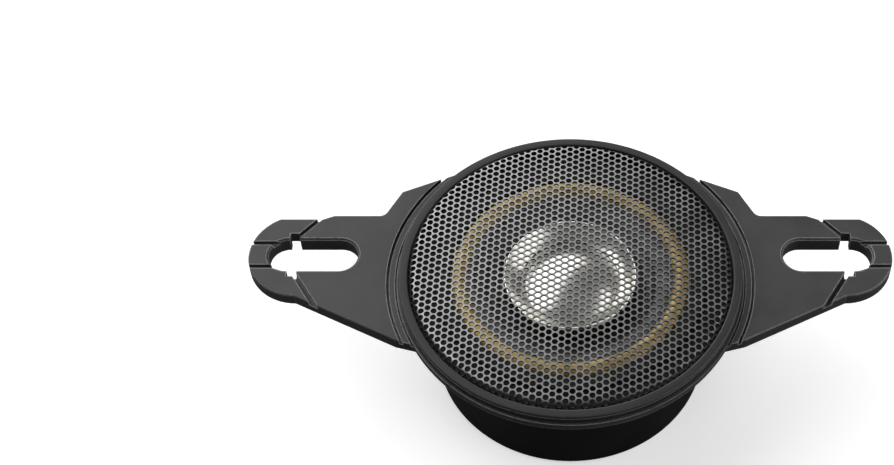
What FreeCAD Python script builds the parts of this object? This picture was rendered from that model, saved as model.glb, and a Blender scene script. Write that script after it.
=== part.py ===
import FreeCAD, Part
import Sketcher
import math
import os

# Coaxial car speaker on a slotted two-ear plate, in millimetres.
# The back of the cover lies on z = 0, the speaker's axis is Z, and sound leaves towards +Z.
# The two ears lie along X. Every level is stacked up from the back of the cover.

Vector = FreeCAD.Vector
doc = FreeCAD.newDocument("coaxial_speaker")
sheet = doc.addObject("Spreadsheet::Sheet", "sizes")


class Size:
    """A length with the sheet expression that it comes from, so a sketch can be bound to it."""

    def __init__(self, number, text):
        self.number = float(number)
        self.text = text

    def __add__(self, other):
        other = as_size(other)
        return Size(self.number + other.number, f"({self.text} + {other.text})")

    def __sub__(self, other):
        other = as_size(other)
        return Size(self.number - other.number, f"({self.text} - {other.text})")

    def __mul__(self, other):
        other = as_size(other)
        return Size(self.number * other.number, f"({self.text} * {other.text})")

    def __truediv__(self, other):
        other = as_size(other)
        return Size(self.number / other.number, f"({self.text} / {other.text})")

    def __neg__(self):
        return Size(0, "0") - self

    def root(self):
        return Size(math.sqrt(self.number), f"sqrt({self.text})")


def as_size(value):
    if isinstance(value, Size):
        return value
    return Size(value, repr(value))


def size(alias, value, meaning):
    """Writes one driving dimension into the sheet and returns it."""
    size.row += 1
    sheet.set(f"A{size.row}", meaning)
    sheet.set(f"B{size.row}", str(value))
    sheet.setAlias(f"B{size.row}", alias)
    return Size(value, f"sizes.{alias}")


size.row = 0

# Plate and ears
flange_radius = size("flange_radius", 37.5, "outer radius of the round flange")
flange_thickness = size("flange_thickness", 2.1, "thickness of the round flange at its edge")
plate_thickness = size("plate_thickness", 2.9, "thickness of the ears")
flange_chamfer = size("flange_chamfer", 0.5, "chamfer under the flange's edge")
ear_root_overlap = size("ear_root_overlap", 0.9, "how far the ears run into the flange")
ear_edge = size("ear_edge", 0.3, "rounding along the ears' top edge")
slot_reach = size("slot_reach", 18.64, "slot centre beyond the flange's edge")
slot_shift = size("slot_shift", 5.73, "slots' offset to the far side of the axis")
slot_width = size("slot_width", 8.32, "width of the slots")
slot_length = size("slot_length", 19.58, "end-to-end length of the slots")
slot_chamfer = size("slot_chamfer", 0.45, "chamfer round the slots' top edge")
ear_far_edge = size("ear_far_edge", 10.83, "ear's straight far edge from the slot's centre line")
ear_step = size("ear_step", 0.97, "step down of the far edge beyond the break groove")
ear_tip_radius = size("ear_tip_radius", 11.05, "radius of the ear's round tip")
ear_tip_shift = size("ear_tip_shift", 3.06, "tip's centre beyond the slot's centre")
ear_far_root = size("ear_far_root", 31.9, "height of the far edge where it leaves the flange")
ear_shoulder = size("ear_shoulder", 23.33, "height of the ear's far shoulder above the axis")
ear_corner_reach = size("ear_corner_reach", 3.8, "inner corner of the far edge beyond the flange")
ear_near_root = size("ear_near_root", 16.62, "drop of the ear's near edge where it meets the flange")
ear_near_blend = size("ear_near_blend", 1.4, "further drop of the near edge inside the flange")
ear_shoulder_reach = size("ear_shoulder_reach", 0.18, "ear's far shoulder beyond the flange's edge")
corner_before = size("corner_before", 0.48, "start of the inner corner's bend before the corner")
corner_above = size("corner_above", 0.88, "start of that bend above the far edge")
corner_beyond = size("corner_beyond", 1.12, "end of that bend beyond the corner")
corner_radius = size("corner_radius", 1.92, "radius of that bend")
collar_depth = size("collar_depth", 1.0, "raised collar under each slot")
collar_width = size("collar_width", 1.3, "width of that collar")
notch_width = size("notch_width", 2.2, "width of the cross notches in the slots")
notch_depth = size("notch_depth", 1.67, "how far the cross notches cut past the slot's sides")
notch_reach = size("notch_reach", 4.36, "cross notches beyond the slot's centre")
groove_width = size("groove_width", 1.0, "width of the break grooves")
slant_width = size("slant_width", 1.3, "width of the slanting break grooves along the ear")
groove_depth = size("groove_depth", 1.1, "depth of the break grooves")
far_groove_slant = size("far_groove_slant", 6.6, "sideways run of the far break groove")
far_groove_run = size("far_groove_run", 7.4, "run of the far break groove across the ear")
near_groove_slant = size("near_groove_slant", 6.8, "sideways run of the near break groove")
near_groove_run = size("near_groove_run", 11.1, "run of the near break groove across the ear")
tip_groove_rise = size("tip_groove_rise", 3.15, "tip grooves' distance from the slot's centre line")
step_gap = size("step_gap", 0.4, "open gap outside the flange's edge")
step_land = size("step_land", 1.3, "width of the raised land in the ears' root")
step_groove = size("step_groove", 0.58, "groove outside that land")
step_depth = size("step_depth", 1.2, "depth of those grooves")

# Grille
rim_margin = size("rim_margin", 0.5, "grille ring inside the flange's edge")
rim_width = size("rim_width", 1.9, "width of the grille ring")
rim_height = size("rim_height", 2.3, "height of the grille ring above the plate")
rim_round = size("rim_round", 0.8, "rounding of the grille ring's top edges")
mesh_thickness = size("mesh_thickness", 0.45, "thickness of the grille's sheet")
mesh_rise = size("mesh_rise", 1.4, "grille's crown above the ring")
mesh_crown = size("mesh_crown", 0.6, "rise of the grille between its shoulder and its middle")
mesh_shoulder = size("mesh_shoulder", 1.9, "bend radius at the grille's shoulder")
mesh_flange = size("mesh_flange", 1.35, "width of the grille's flange under the ring")
fit_gap = size("fit_gap", 0.05, "clearance between parts that sit in each other")

# Basket and cover
basket_depth = size("basket_depth", 11.7, "top plate to the top of the flange")
basket_floor = size("basket_floor", 1.8, "thickness of the basket's floor")
basket_foot_radius = size("basket_foot_radius", 23.0, "outer radius of the basket's foot")
basket_wall = size("basket_wall", 1.7, "thickness of the basket's sloping wall")
foot_clear = size("foot_clear", 1.3, "basket's bore outside the top plate's bore")
window_bottom = size("window_bottom", 2.9, "basket windows above the basket's floor")
window_top = size("window_top", 3.2, "basket windows below the flange's top")
window_angle = size("window_angle", 50, "width of each basket window in degrees")
deck_recess = size("deck_recess", 0.6, "surround's seat below the flange's top")
deck_margin = size("deck_margin", 0.5, "surround's seat inside the grille ring's bore")
skirt_depth = size("skirt_depth", 3.0, "skirt that the cover slips over")
skirt_wall = size("skirt_wall", 1.5, "thickness of that skirt")
skirt_gap = size("skirt_gap", 0.25, "clearance between the skirt and the cover's front")
cover_wall = size("cover_wall", 1.5, "wall of the rear cover")
cover_floor = size("cover_floor", 1.8, "floor of the rear cover")
cover_gap = size("cover_gap", 1.3, "space between the magnet and the cover")
cover_draft = size("cover_draft", 1.2, "growth of the cover's radius from back to front")
cover_round = size("cover_round", 1.2, "rounding of the cover's back edge")
pad_thickness = size("pad_thickness", 0.7, "foam pad between cover and yoke")
pad_bore = size("pad_bore", 8.0, "radius of that pad's bore")
pad_margin = size("pad_margin", 1.0, "pad inside the yoke's edge")
gasket_clear = size("gasket_clear", 2.0, "mounting gasket outside the cover")
gasket_margin = size("gasket_margin", 1.5, "mounting gasket inside the flange's edge")

# Woofer motor
yoke_radius = size("yoke_radius", 26.0, "radius of the yoke and the top plate")
yoke_plate = size("yoke_plate", 3.5, "thickness of the yoke's plate")
pole_radius = size("pole_radius", 12.1, "radius of the yoke's pole")
pole_proud = size("pole_proud", 0.5, "pole above the top plate")
magnet_radius = size("magnet_radius", 27.5, "outer radius of the ring magnet")
magnet_bore = size("magnet_bore", 15.5, "inner radius of the ring magnet")
magnet_height = size("magnet_height", 7.0, "height of the ring magnet")
top_plate_thickness = size("top_plate_thickness", 3.5, "thickness of the top plate")
former_gap = size("former_gap", 0.3, "clearance of the coil on each side")
former_wall = size("former_wall", 0.15, "wall of the voice coil's former")
winding_wall = size("winding_wall", 0.4, "thickness of the voice coil's winding")
winding_height = size("winding_height", 5.0, "height of the winding")
former_foot = size("former_foot", 0.35, "former below the winding")
frame_screw_circle = size("frame_screw_circle", 17.0, "radius of the basket screws' circle")
cover_screw_circle = size("cover_screw_circle", 18.0, "radius of the cover screws' circle")
screw_head = size("screw_head", 2.4, "radius of the screws' heads")
screw_shank = size("screw_shank", 1.2, "radius of the screws' shanks")
screw_bite = size("screw_bite", 2.5, "screws' length in the steel")
hole_spare = size("hole_spare", 0.2, "depth of the steel's holes beyond the screws' tips")

# Cone, surround and spider
paper = size("paper", 0.35, "thickness of the cone and the surround")
roll_inner = size("roll_inner", 22.2, "inner radius of the surround's roll")
roll_width = size("roll_width", 3.6, "width of the surround's roll")
roll_rise = size("roll_rise", 1.35, "height of the surround's roll")
surround_lip = size("surround_lip", 1.2, "surround's inner glue lip on the cone")
surround_flange = size("surround_flange", 1.8, "surround's outer flange on the deck")
gasket_overlap = size("gasket_overlap", 1.6, "cone gasket lying on the surround")
gasket_width = size("gasket_width", 3.2, "width of the cone gasket")
gasket_height = size("gasket_height", 0.9, "thickness of the cone gasket")
cone_depth = size("cone_depth", 6.25, "depth of the cone from its lip to its neck")
spider_thickness = size("spider_thickness", 0.3, "thickness of the spider")
spider_wave = size("spider_wave", 0.6, "height of the spider's waves")
spider_rise = size("spider_rise", 2.0, "spider's ledge above the basket's floor")
spider_ledge = size("spider_ledge", 1.5, "width of the spider's ledge")
ledge_overlap = size("ledge_overlap", 0.2, "spider's ledge running into the basket's wall")

# Tweeter
post_radius = size("post_radius", 2.95, "radius of the tweeter post's stud")
post_bore = size("post_bore", 1.6, "bore of the tweeter's post")
post_shoulder = size("post_shoulder", 5.5, "radius of the post's shoulder")
post_rise = size("post_rise", 2.4, "height of the post's shoulder above the pole")
nut_flats = size("nut_flats", 10.0, "post nut across its flats")
nut_height = size("nut_height", 2.2, "thickness of the post nut")
nut_recess = size("nut_recess", 0.2, "nut below the yoke's back")
nut_room = size("nut_room", 6.2, "radius of the nut's recess in the yoke")
cup_inset = size("cup_inset", 1.5, "tweeter's magnet cup inside the pole's edge")
cup_wall = size("cup_wall", 1.45, "wall of the tweeter's magnet cup")
cup_height = size("cup_height", 5.0, "height of the tweeter's magnet cup")
cup_floor = size("cup_floor", 1.3, "floor of the tweeter's magnet cup")
tweeter_former_wall = size("tweeter_former_wall", 0.1, "wall of the tweeter's former")
tweeter_winding = size("tweeter_winding", 0.3, "thickness of the tweeter's winding")
tweeter_winding_height = size("tweeter_winding_height", 2.0, "height of the tweeter's winding")
dome_collar = size("dome_collar", 0.35, "collar under the dome that holds the former")
tweeter_coil_gap = size("tweeter_coil_gap", 0.3, "clearance of the tweeter's coil on each side")
tweeter_magnet_height = size("tweeter_magnet_height", 2.3, "height of the tweeter's magnet")
tweeter_magnet_step = size("tweeter_magnet_step", 0.35, "tweeter's magnet inside its plate's edge")
tweeter_plate_height = size("tweeter_plate_height", 1.2, "thickness of the tweeter's plate")
holder_lift = size("holder_lift", 0.6, "dome's seat above the magnet cup")
holder_wall = size("holder_wall", 2.3, "wall of the tweeter's holder outside the magnet cup")
holder_height = size("holder_height", 1.7, "height of the tweeter's holder")
film = size("film", 0.15, "thickness of the tweeter's dome")
dome_inset = size("dome_inset", 0.3, "tweeter's dome inside the magnet cup's edge")
dome_rise = size("dome_rise", 3.35, "height of the tweeter's dome")
edge_roll = size("edge_roll", 1.0, "width of the dome's edge roll")
edge_roll_rise = size("edge_roll_rise", 0.4, "height of the dome's edge roll")
edge_flange = size("edge_flange", 1.2, "width of the dome's outer flange")
throat_overlap = size("throat_overlap", 0.6, "waveguide's throat outside the dome")
throat_rise = size("throat_rise", 0.45, "waveguide's throat above the dome's edge roll")
waveguide_overhang = size("waveguide_overhang", 1.5, "waveguide's edge outside the holder")
flare_share = size("flare_share", 1.6, "bend radius of the waveguide's flare over its height")
waveguide_height = size("waveguide_height", 3.85, "height of the waveguide above the dome's edge")
waveguide_lip = size("waveguide_lip", 0.5, "width of the waveguide's flat lip")

# Terminals and wiring
block_width = size("block_width", 16.0, "width of the terminal block")
block_height = size("block_height", 5.7, "height of the terminal block's body")
block_depth = size("block_depth", 3.3, "depth of the terminal block's body")
block_lift = size("block_lift", 0.3, "terminal block above the top plate")
bay_width = size("bay_width", 18.0, "width of the connector bay in the cover")
bay_inset = size("bay_inset", 0.45, "connector bay outside the magnet")
bay_lip = size("bay_lip", 2.4, "height of the block's flange that closes the bay")
flange_inset = size("flange_inset", 1.5, "block's flange inside the cover's front")
tab_inset = size("tab_inset", 0.95, "tabs outside the flange's inner face")
tab_hole = size("tab_hole", 0.7, "radius of the hole in each tab")
tab_length = size("tab_length", 7.0, "length of the terminal tabs")
tab_thickness = size("tab_thickness", 0.5, "thickness of the terminal tabs")
positive_width = size("positive_width", 4.8, "width of the positive tab")
negative_width = size("negative_width", 2.8, "width of the negative tab")
tab_spacing = size("tab_spacing", 8.0, "distance between the tabs")
lead_radius = size("lead_radius", 0.3, "radius of the tweeter's leads")
lead_spacing = size("lead_spacing", 0.9, "distance between the tweeter's leads")
tinsel_radius = size("tinsel_radius", 0.45, "radius of the woofer's tinsel leads")
lead_bend = size("lead_bend", 0.7, "bend radius of the tweeter's leads")
lead_clear = size("lead_clear", 0.4, "clearance of the leads")
lead_drop = size("lead_drop", 0.75, "tweeter's leads below the post's top")
tinsel_bend = size("tinsel_bend", 2.2, "bend radius of the tinsel leads")
tinsel_rise = size("tinsel_rise", 1.0, "tinsel leads above the windows' lower edge")
tinsel_reach = size("tinsel_reach", 18.2, "tinsel leads' distance from the axis at the cone")
capacitor_radius = size("capacitor_radius", 2.45, "radius of the crossover capacitor")
capacitor_length = size("capacitor_length", 9.5, "length of the crossover capacitor")
capacitor_groove = size("capacitor_groove", 0.95, "width of the can's groove and its distance from the end")
capacitor_angle = size("capacitor_angle", 125, "capacitor's place round the axis in degrees")
capacitor_turn = size("capacitor_turn", 1.12, "far lead's run out of the can before it turns")
capacitor_stop = size("capacitor_stop", 0.27, "ends of the capacitor's leads outside the block")

window_count = 4
frame_screw_count = 4
cover_screw_count = 3
spider_waves = 3
overrun = 1  # cuts run this far past the faces that they open
nearness = 0.01
level_tolerance = 1e-4
volume_tolerance = 0.01

# Levels above the back of the cover
yoke_back = cover_floor + pad_thickness
magnet_bottom = yoke_back + yoke_plate
top_plate_bottom = magnet_bottom + magnet_height
basket_seat = top_plate_bottom + top_plate_thickness
pole_top = basket_seat + pole_proud
plate_top = basket_seat + basket_depth
plate_bottom = plate_top - plate_thickness
flange_bottom = plate_top - flange_thickness
collar_bottom = plate_bottom - collar_depth
rim_top = plate_top + rim_height
mesh_top = rim_top + mesh_rise
deck = plate_top - deck_recess
basket_floor_top = basket_seat + basket_floor
spider_seat = basket_floor_top + spider_rise
post_top = pole_top + post_rise
cup_top = post_top + cup_height
dome_seat = cup_top + holder_lift
dome_base = dome_seat + film

# Radii that follow from other parts
cover_back_radius = magnet_radius + cover_gap + cover_wall
cover_front_radius = cover_back_radius + cover_draft
skirt_radius = cover_front_radius - cover_wall - skirt_gap
former_inner = pole_radius + former_gap
former_outer = former_inner + former_wall
winding_outer = former_outer + winding_wall
top_plate_bore = winding_outer + former_gap
deck_bore = roll_inner + roll_width
rim_radius = flange_radius - rim_margin
rim_bore = rim_radius - rim_width
slot_centre = flange_radius + slot_reach
slot_half = slot_width / 2
slot_run = (slot_length - slot_width) / 2
cup_radius = pole_radius - cup_inset
tweeter_coil_radius = cup_radius - cup_wall - tweeter_coil_gap - tweeter_winding - tweeter_former_wall
dome_radius = cup_radius - dome_inset
holder_radius = cup_radius + holder_wall
waveguide_radius = holder_radius + waveguide_overhang
ledge_radius = basket_foot_radius - basket_wall + ledge_overlap


def origin_item(body, role):
    return next(feature for feature in body.Origin.OriginFeatures if feature.Role == role)


def new_body(label):
    body = doc.addObject("PartDesign::Body", label)
    body.Label = label
    body.AllowCompound = True
    return body


def new_sketch(body, name, role, lift=None):
    """A sketch on one of the body's own planes, lifted off it where a level is given."""
    sketch = body.newObject("Sketcher::SketchObject", f"{body.Label}_{name}")
    sketch.AttachmentSupport = [(origin_item(body, role), "")]
    sketch.MapMode = "FlatFace"
    if lift is not None:
        sketch.AttachmentOffset = FreeCAD.Placement(Vector(0, 0, lift.number), FreeCAD.Rotation())
        sketch.setExpression("AttachmentOffset.Base.z", lift.text)
    return sketch


def bind(sketch, constraint, value):
    index = sketch.addConstraint(constraint)
    sketch.setExpression(f"Constraints[{index}]", value.text)


def pin_point(sketch, edge, end, x, y):
    """Ties a point of the sketch to its distances from the sketch's origin."""
    bind(sketch, Sketcher.Constraint("DistanceX", -1, 1, edge, end, x.number), x)
    bind(sketch, Sketcher.Constraint("DistanceY", -1, 1, edge, end, y.number), y)


def arc_between(start, end, radius, side):
    """The shorter arc from start to end; side is 1 where its centre lies to the left."""
    chord = end - start
    middle = (start + end) * 0.5
    offset = math.sqrt(max(0.0, radius ** 2 - (chord.Length / 2) ** 2))
    left = Vector(-chord.y, chord.x, 0).normalize()
    centre = middle + left * offset * side
    first, last = (start, end) if side > 0 else (end, start)
    from_angle = math.atan2(first.y - centre.y, first.x - centre.x)
    to_angle = math.atan2(last.y - centre.y, last.x - centre.x)
    return Part.ArcOfCircle(Part.Circle(centre, Vector(0, 0, 1), radius), from_angle, to_angle)


def draw(sketch, corners):
    """A closed outline. A corner is (x, y), or (x, y, radius, side) where an arc leads to it."""
    corners = [tuple(as_size(value) for value in corner[:3]) + corner[3:] for corner in corners]
    places = [Vector(corner[0].number, corner[1].number, 0) for corner in corners]
    count = len(corners)
    starts = []
    ends = []
    for index in range(count):
        following = (index + 1) % count
        target = corners[following]
        if len(target) == 2:
            edge = sketch.addGeometry(Part.LineSegment(places[index], places[following]), False)
            turned_back = False
        else:
            arc = arc_between(places[index], places[following], target[2].number, target[3])
            edge = sketch.addGeometry(arc, False)
            turned_back = target[3] < 0
        starts.append((edge, 2 if turned_back else 1))
        ends.append((edge, 1 if turned_back else 2))
    for index in range(count):
        sketch.addConstraint(Sketcher.Constraint("Coincident", *ends[index - 1], *starts[index]))
    for index, corner in enumerate(corners):
        pin_point(sketch, *starts[index], corner[0], corner[1])
        if len(corner) == 4:
            arc_edge = starts[index - 1][0]
            bind(sketch, Sketcher.Constraint("Radius", arc_edge, corner[2].number), corner[2])


def box_outline(low_x, low_y, high_x, high_y):
    return [(low_x, low_y), (high_x, low_y), (high_x, high_y), (low_x, high_y)]


def draw_circle(sketch, x, y, radius):
    circle = Part.Circle(Vector(x.number, y.number, 0), Vector(0, 0, 1), radius.number)
    edge = sketch.addGeometry(circle, False)
    pin_point(sketch, edge, 3, x, y)
    bind(sketch, Sketcher.Constraint("Radius", edge, radius.number), radius)


def draw_slot(sketch, x, y, run, half):
    """A slot along the sketch's X: two straight sides and two half-round ends."""
    left, right = x - run, x + run
    top, bottom = y + half, y - half
    centre_left = Vector(left.number, y.number, 0)
    centre_right = Vector(right.number, y.number, 0)
    round_left = Part.Circle(centre_left, Vector(0, 0, 1), half.number)
    round_right = Part.Circle(centre_right, Vector(0, 0, 1), half.number)
    low = sketch.addGeometry(Part.LineSegment(Vector(left.number, bottom.number, 0),
                                              Vector(right.number, bottom.number, 0)), False)
    right_end = sketch.addGeometry(Part.ArcOfCircle(round_right, -math.pi / 2, math.pi / 2), False)
    high = sketch.addGeometry(Part.LineSegment(Vector(right.number, top.number, 0),
                                               Vector(left.number, top.number, 0)), False)
    left_end = sketch.addGeometry(Part.ArcOfCircle(round_left, math.pi / 2, 3 * math.pi / 2), False)
    ring = [low, right_end, high, left_end]
    for index, edge in enumerate(ring):
        sketch.addConstraint(Sketcher.Constraint("Coincident", ring[index - 1], 2, edge, 1))
    pin_point(sketch, left_end, 3, left, y)
    pin_point(sketch, right_end, 3, right, y)
    pin_point(sketch, low, 1, left, bottom)
    pin_point(sketch, low, 2, right, bottom)
    bind(sketch, Sketcher.Constraint("DistanceX", -1, 1, high, 1, right.number), right)
    bind(sketch, Sketcher.Constraint("DistanceX", -1, 1, high, 2, left.number), left)


def revolve(body, name, corners, kind="PartDesign::Revolution", angle=None):
    """Turns an outline of (radius, level) corners about Z, as material or as a cut."""
    sketch = new_sketch(body, name, "XZ_Plane")
    draw(sketch, corners)
    feature = body.newObject(kind, f"{body.Label}_{name}_turned")
    feature.Profile = sketch
    feature.ReferenceAxis = (sketch, ["V_Axis"])
    feature.Angle = 360
    if angle is not None:
        feature.setExpression("Angle", angle.text)
        feature.Midplane = True
    return feature


def extrude(body, name, lift, height, outline, kind="PartDesign::Pad"):
    """Pads or cuts upwards from the level lift by height; outline draws on the sketch."""
    sketch = new_sketch(body, name, "XY_Plane", lift)
    outline(sketch)
    feature = body.newObject(kind, f"{body.Label}_{name}_run")
    feature.Profile = sketch
    feature.Length = height.number
    feature.setExpression("Length", height.text)
    feature.Reversed = kind == "PartDesign::Pocket"
    return feature


def ring_pattern(body, feature, count):
    pattern = body.newObject("PartDesign::PolarPattern", f"{feature.Name}_ring")
    pattern.Originals = [feature]
    pattern.Axis = (origin_item(body, "Z_Axis"), [""])
    pattern.Angle = 360
    pattern.Occurrences = count
    body.Tip = pattern
    return pattern


def turned(label, corners):
    """A piece that is all one turned outline."""
    body = new_body(label)
    revolve(body, "profile", corners)
    return body


def washer(label, inner, outer, low, high):
    return turned(label, box_outline(inner, low, outer, high))


def disc(label, radius, low, high):
    return turned(label, box_outline(0, low, radius, high))


def basket_profile():
    """Half section of the round part of the frame, from the surround's seat round to its bore."""
    seat_edge = rim_bore - deck_margin
    foot_inner = top_plate_bore + foot_clear
    return [
        (deck_bore, deck),
        (seat_edge, deck),
        (seat_edge, plate_top),
        (flange_radius, plate_top),
        (flange_radius, flange_bottom + flange_chamfer),
        (flange_radius - flange_chamfer, flange_bottom),
        (skirt_radius, flange_bottom),
        (skirt_radius, flange_bottom - skirt_depth),
        (skirt_radius - skirt_wall, flange_bottom - skirt_depth),
        (skirt_radius - skirt_wall, flange_bottom),
        (deck_bore + basket_wall, flange_bottom),
        (basket_foot_radius, basket_floor_top),
        (basket_foot_radius, basket_seat),
        (foot_inner, basket_seat),
        (foot_inner, basket_floor_top),
        (ledge_radius - spider_ledge, basket_floor_top),
        (ledge_radius - spider_ledge, spider_seat),
        (ledge_radius, spider_seat),
        (deck_bore, flange_bottom - flange_chamfer),
    ]


def ear_outline(side):
    """The ear's edge from the flange round its tip and back; side is 1 on the right."""
    root = flange_radius - ear_root_overlap
    far_edge = slot_shift + ear_far_edge
    tip_edge = far_edge - ear_step
    tip_centre = slot_centre + ear_tip_shift
    tip_reach = tip_edge - slot_shift
    tip_start = tip_centre + (ear_tip_radius * ear_tip_radius - tip_reach * tip_reach).root()
    near_low = ear_near_root + ear_near_blend
    step_start = slot_centre - far_groove_slant / 2
    corner = flange_radius + ear_corner_reach
    outline = [
        ((root * root - ear_far_root * ear_far_root).root(), ear_far_root, root, 1),
        (flange_radius + ear_shoulder_reach, ear_shoulder),
        (corner - corner_before, far_edge + corner_above),
        (corner + corner_beyond, far_edge, corner_radius, 1),
        (step_start - ear_step / 2, far_edge),
        (step_start + ear_step * 2, tip_edge),
        (tip_start, tip_edge),
        (tip_centre, slot_shift - ear_tip_radius, ear_tip_radius, -1),
        (flange_radius - flange_chamfer, -ear_near_root),
        ((root * root - near_low * near_low).root(), -near_low),
    ]
    if side > 0:
        return outline
    return [(-corner[0], corner[1]) + flipped(corner[2:]) for corner in outline]


def flipped(bend):
    return (bend[0], -bend[1]) if bend else ()


def groove_outline(side, start_y, slant, end_y):
    """A slanting groove from the cross notch out over the ear's edge."""
    start = slot_centre + notch_reach
    end = start - slant
    half = slant_width / 2
    corners = [(start - half, start_y), (start + half, start_y), (end + half, end_y), (end - half, end_y)]
    if side > 0:
        return corners
    return [(-corner[0], corner[1]) for corner in corners]


def add_ear(body, side):
    name = "right" if side > 0 else "left"
    centre = slot_centre if side > 0 else -slot_centre
    extrude(body, f"{name}_ear", plate_bottom, plate_thickness,
            lambda sketch: draw(sketch, ear_outline(side)))
    extrude(body, f"{name}_collar", collar_bottom, collar_depth,
            lambda sketch: draw_slot(sketch, centre, slot_shift, slot_run, slot_half + collar_width))


def cut_slot(body, side):
    name = "right" if side > 0 else "left"
    centre = slot_centre if side > 0 else -slot_centre
    extrude(body, f"{name}_slot", collar_bottom - overrun, plate_thickness + collar_depth + overrun * 2,
            lambda sketch: draw_slot(sketch, centre, slot_shift, slot_run, slot_half), "PartDesign::Pocket")


def cut_notches(body, side):
    """The cross notches and the four break grooves of one ear."""
    name = "right" if side > 0 else "left"
    middle = (slot_centre + notch_reach) * side
    half = notch_width / 2
    reach = slot_half + notch_depth
    extrude(body, f"{name}_notch", collar_bottom - overrun, plate_thickness + collar_depth + overrun * 2,
            lambda sketch: draw(sketch, box_outline(middle - half, slot_shift - reach,
                                                    middle + half, slot_shift + reach)),
            "PartDesign::Pocket")
    groove_floor = plate_top - groove_depth
    far_start = slot_shift + slot_half
    near_start = slot_shift - slot_half
    grooves = {
        "far_groove": groove_outline(side, far_start, far_groove_slant, far_start + far_groove_run),
        "near_groove": groove_outline(side, near_start, near_groove_slant, near_start - near_groove_run),
    }
    tip_start = slot_centre + slot_run
    tip_end = slot_centre + ear_tip_shift + ear_tip_radius + overrun
    half_groove = groove_width / 2
    for place, rise in (("upper", tip_groove_rise), ("lower", -tip_groove_rise)):
        level = slot_shift + rise
        near, far = (tip_start, tip_end) if side > 0 else (-tip_end, -tip_start)
        grooves[f"{place}_tip_groove"] = box_outline(near, level - half_groove, far, level + half_groove)
    for groove, corners in grooves.items():
        extrude(body, f"{name}_{groove}", groove_floor, groove_depth + overrun,
                lambda sketch: draw(sketch, corners), "PartDesign::Pocket")


def edges_at(shape, level, chosen):
    """Names of the edges that lie flat at a level and whose middle passes the test."""
    names = []
    for index, edge in enumerate(shape.Edges):
        box = edge.BoundBox
        if max(abs(box.ZMin - level), abs(box.ZMax - level)) > level_tolerance:
            continue
        middle = edge.valueAt((edge.FirstParameter + edge.LastParameter) / 2)
        if chosen(middle):
            names.append(f"Edge{index + 1}")
    return names


def dress_edges(body, kind, name, chosen, length):
    """Rounds or chamfers the chosen edges on the plate's top."""
    doc.recompute()
    base = body.Tip
    feature = body.newObject(kind, f"{body.Label}_{name}")
    feature.Base = (base, edges_at(base.Shape, plate_top.number, chosen))
    if kind == "PartDesign::Fillet":
        feature.Radius = length.number
        feature.setExpression("Radius", length.text)
    else:
        feature.Size = length.number
        feature.setExpression("Size", length.text)


def beyond_flange(point):
    return math.hypot(point.x, point.y) > flange_radius.number + nearness


def round_slot(point):
    across = abs(point.y - slot_shift.number)
    along = abs(abs(point.x) - slot_centre.number)
    half_length = slot_run.number + slot_half.number
    return across < slot_half.number + nearness and along < half_length + nearness


def make_frame():
    body = new_body("frame")
    revolve(body, "basket", basket_profile())
    window_low = basket_floor_top + window_bottom
    window_high = plate_top - window_top
    window = revolve(body, "window", box_outline(basket_foot_radius - basket_wall * 2, window_low,
                                                 skirt_radius - skirt_wall - fit_gap, window_high),
                     "PartDesign::Groove", window_angle)
    ring_pattern(body, window, window_count)
    for side in (1, -1):
        add_ear(body, side)
    dress_edges(body, "PartDesign::Fillet", "edge_round", beyond_flange, ear_edge)
    for side in (1, -1):
        cut_slot(body, side)
    dress_edges(body, "PartDesign::Chamfer", "slot_chamfer", round_slot, slot_chamfer)
    for side in (1, -1):
        cut_notches(body, side)
    gap_outer = flange_radius + step_gap
    land_outer = gap_outer + step_land
    above = plate_top + overrun
    revolve(body, "step_gap", box_outline(flange_radius, plate_top - step_depth, gap_outer, above),
            "PartDesign::Groove")
    revolve(body, "step_groove", box_outline(land_outer, plate_top - step_depth,
                                             land_outer + step_groove, above), "PartDesign::Groove")
    revolve(body, "step_land", box_outline(gap_outer - fit_gap, plate_top - ear_edge,
                                           land_outer + fit_gap, above), "PartDesign::Groove")
    drill(body, frame_screw_circle, basket_floor_top, basket_seat - overrun, 1, frame_screw_count)
    return body


def screw_section(circle, face, tip, up, gap, over):
    """Half section of a countersunk screw with its head's face at a level; up is 1 where it faces +Z."""
    head = circle + screw_head + gap
    shank = circle + screw_shank + gap
    cone_end = face - (screw_head - screw_shank) * up
    corners = [(circle, face + over), (head, face + over)]
    if over.number:
        corners.append((head, face))
    return corners + [(shank, cone_end), (shank, tip), (circle, tip)]


def turn_screw(body, name, kind, corners, count):
    """Turns the section about its own straight side and repeats it round Z."""
    sketch = new_sketch(body, name, "XZ_Plane")
    draw(sketch, corners)
    feature = body.newObject(kind, f"{body.Label}_{name}_turned")
    feature.Profile = sketch
    feature.ReferenceAxis = (sketch, [f"Edge{len(corners)}"])
    feature.Angle = 360
    ring_pattern(body, feature, count)


def drill(body, circle, face, tip, up, count):
    """Countersunk screw holes on a circle."""
    corners = screw_section(circle, face, tip, up, fit_gap, as_size(up))
    turn_screw(body, "screw_holes", "PartDesign::Groove", corners, count)


def make_screws(label, circle, face, tip, up, count):
    body = new_body(label)
    corners = screw_section(circle, face, tip, up, as_size(0), as_size(0))
    turn_screw(body, "screw", "PartDesign::Revolution", corners, count)
    return body


def make_grille_ring():
    """The ring that holds the grille; a lip outside the grille's flange reaches down to the plate."""
    under = plate_top + mesh_thickness
    lip_inner = rim_bore + mesh_flange
    side = rim_top - rim_round
    return turned("grille_ring", [
        (rim_bore, under),
        (lip_inner, under),
        (lip_inner, plate_top),
        (rim_radius, plate_top),
        (rim_radius, side),
        (rim_radius - rim_round, rim_top, rim_round, 1),
        (rim_bore + rim_round, rim_top),
        (rim_bore, side, rim_round, 1),
    ])


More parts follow.
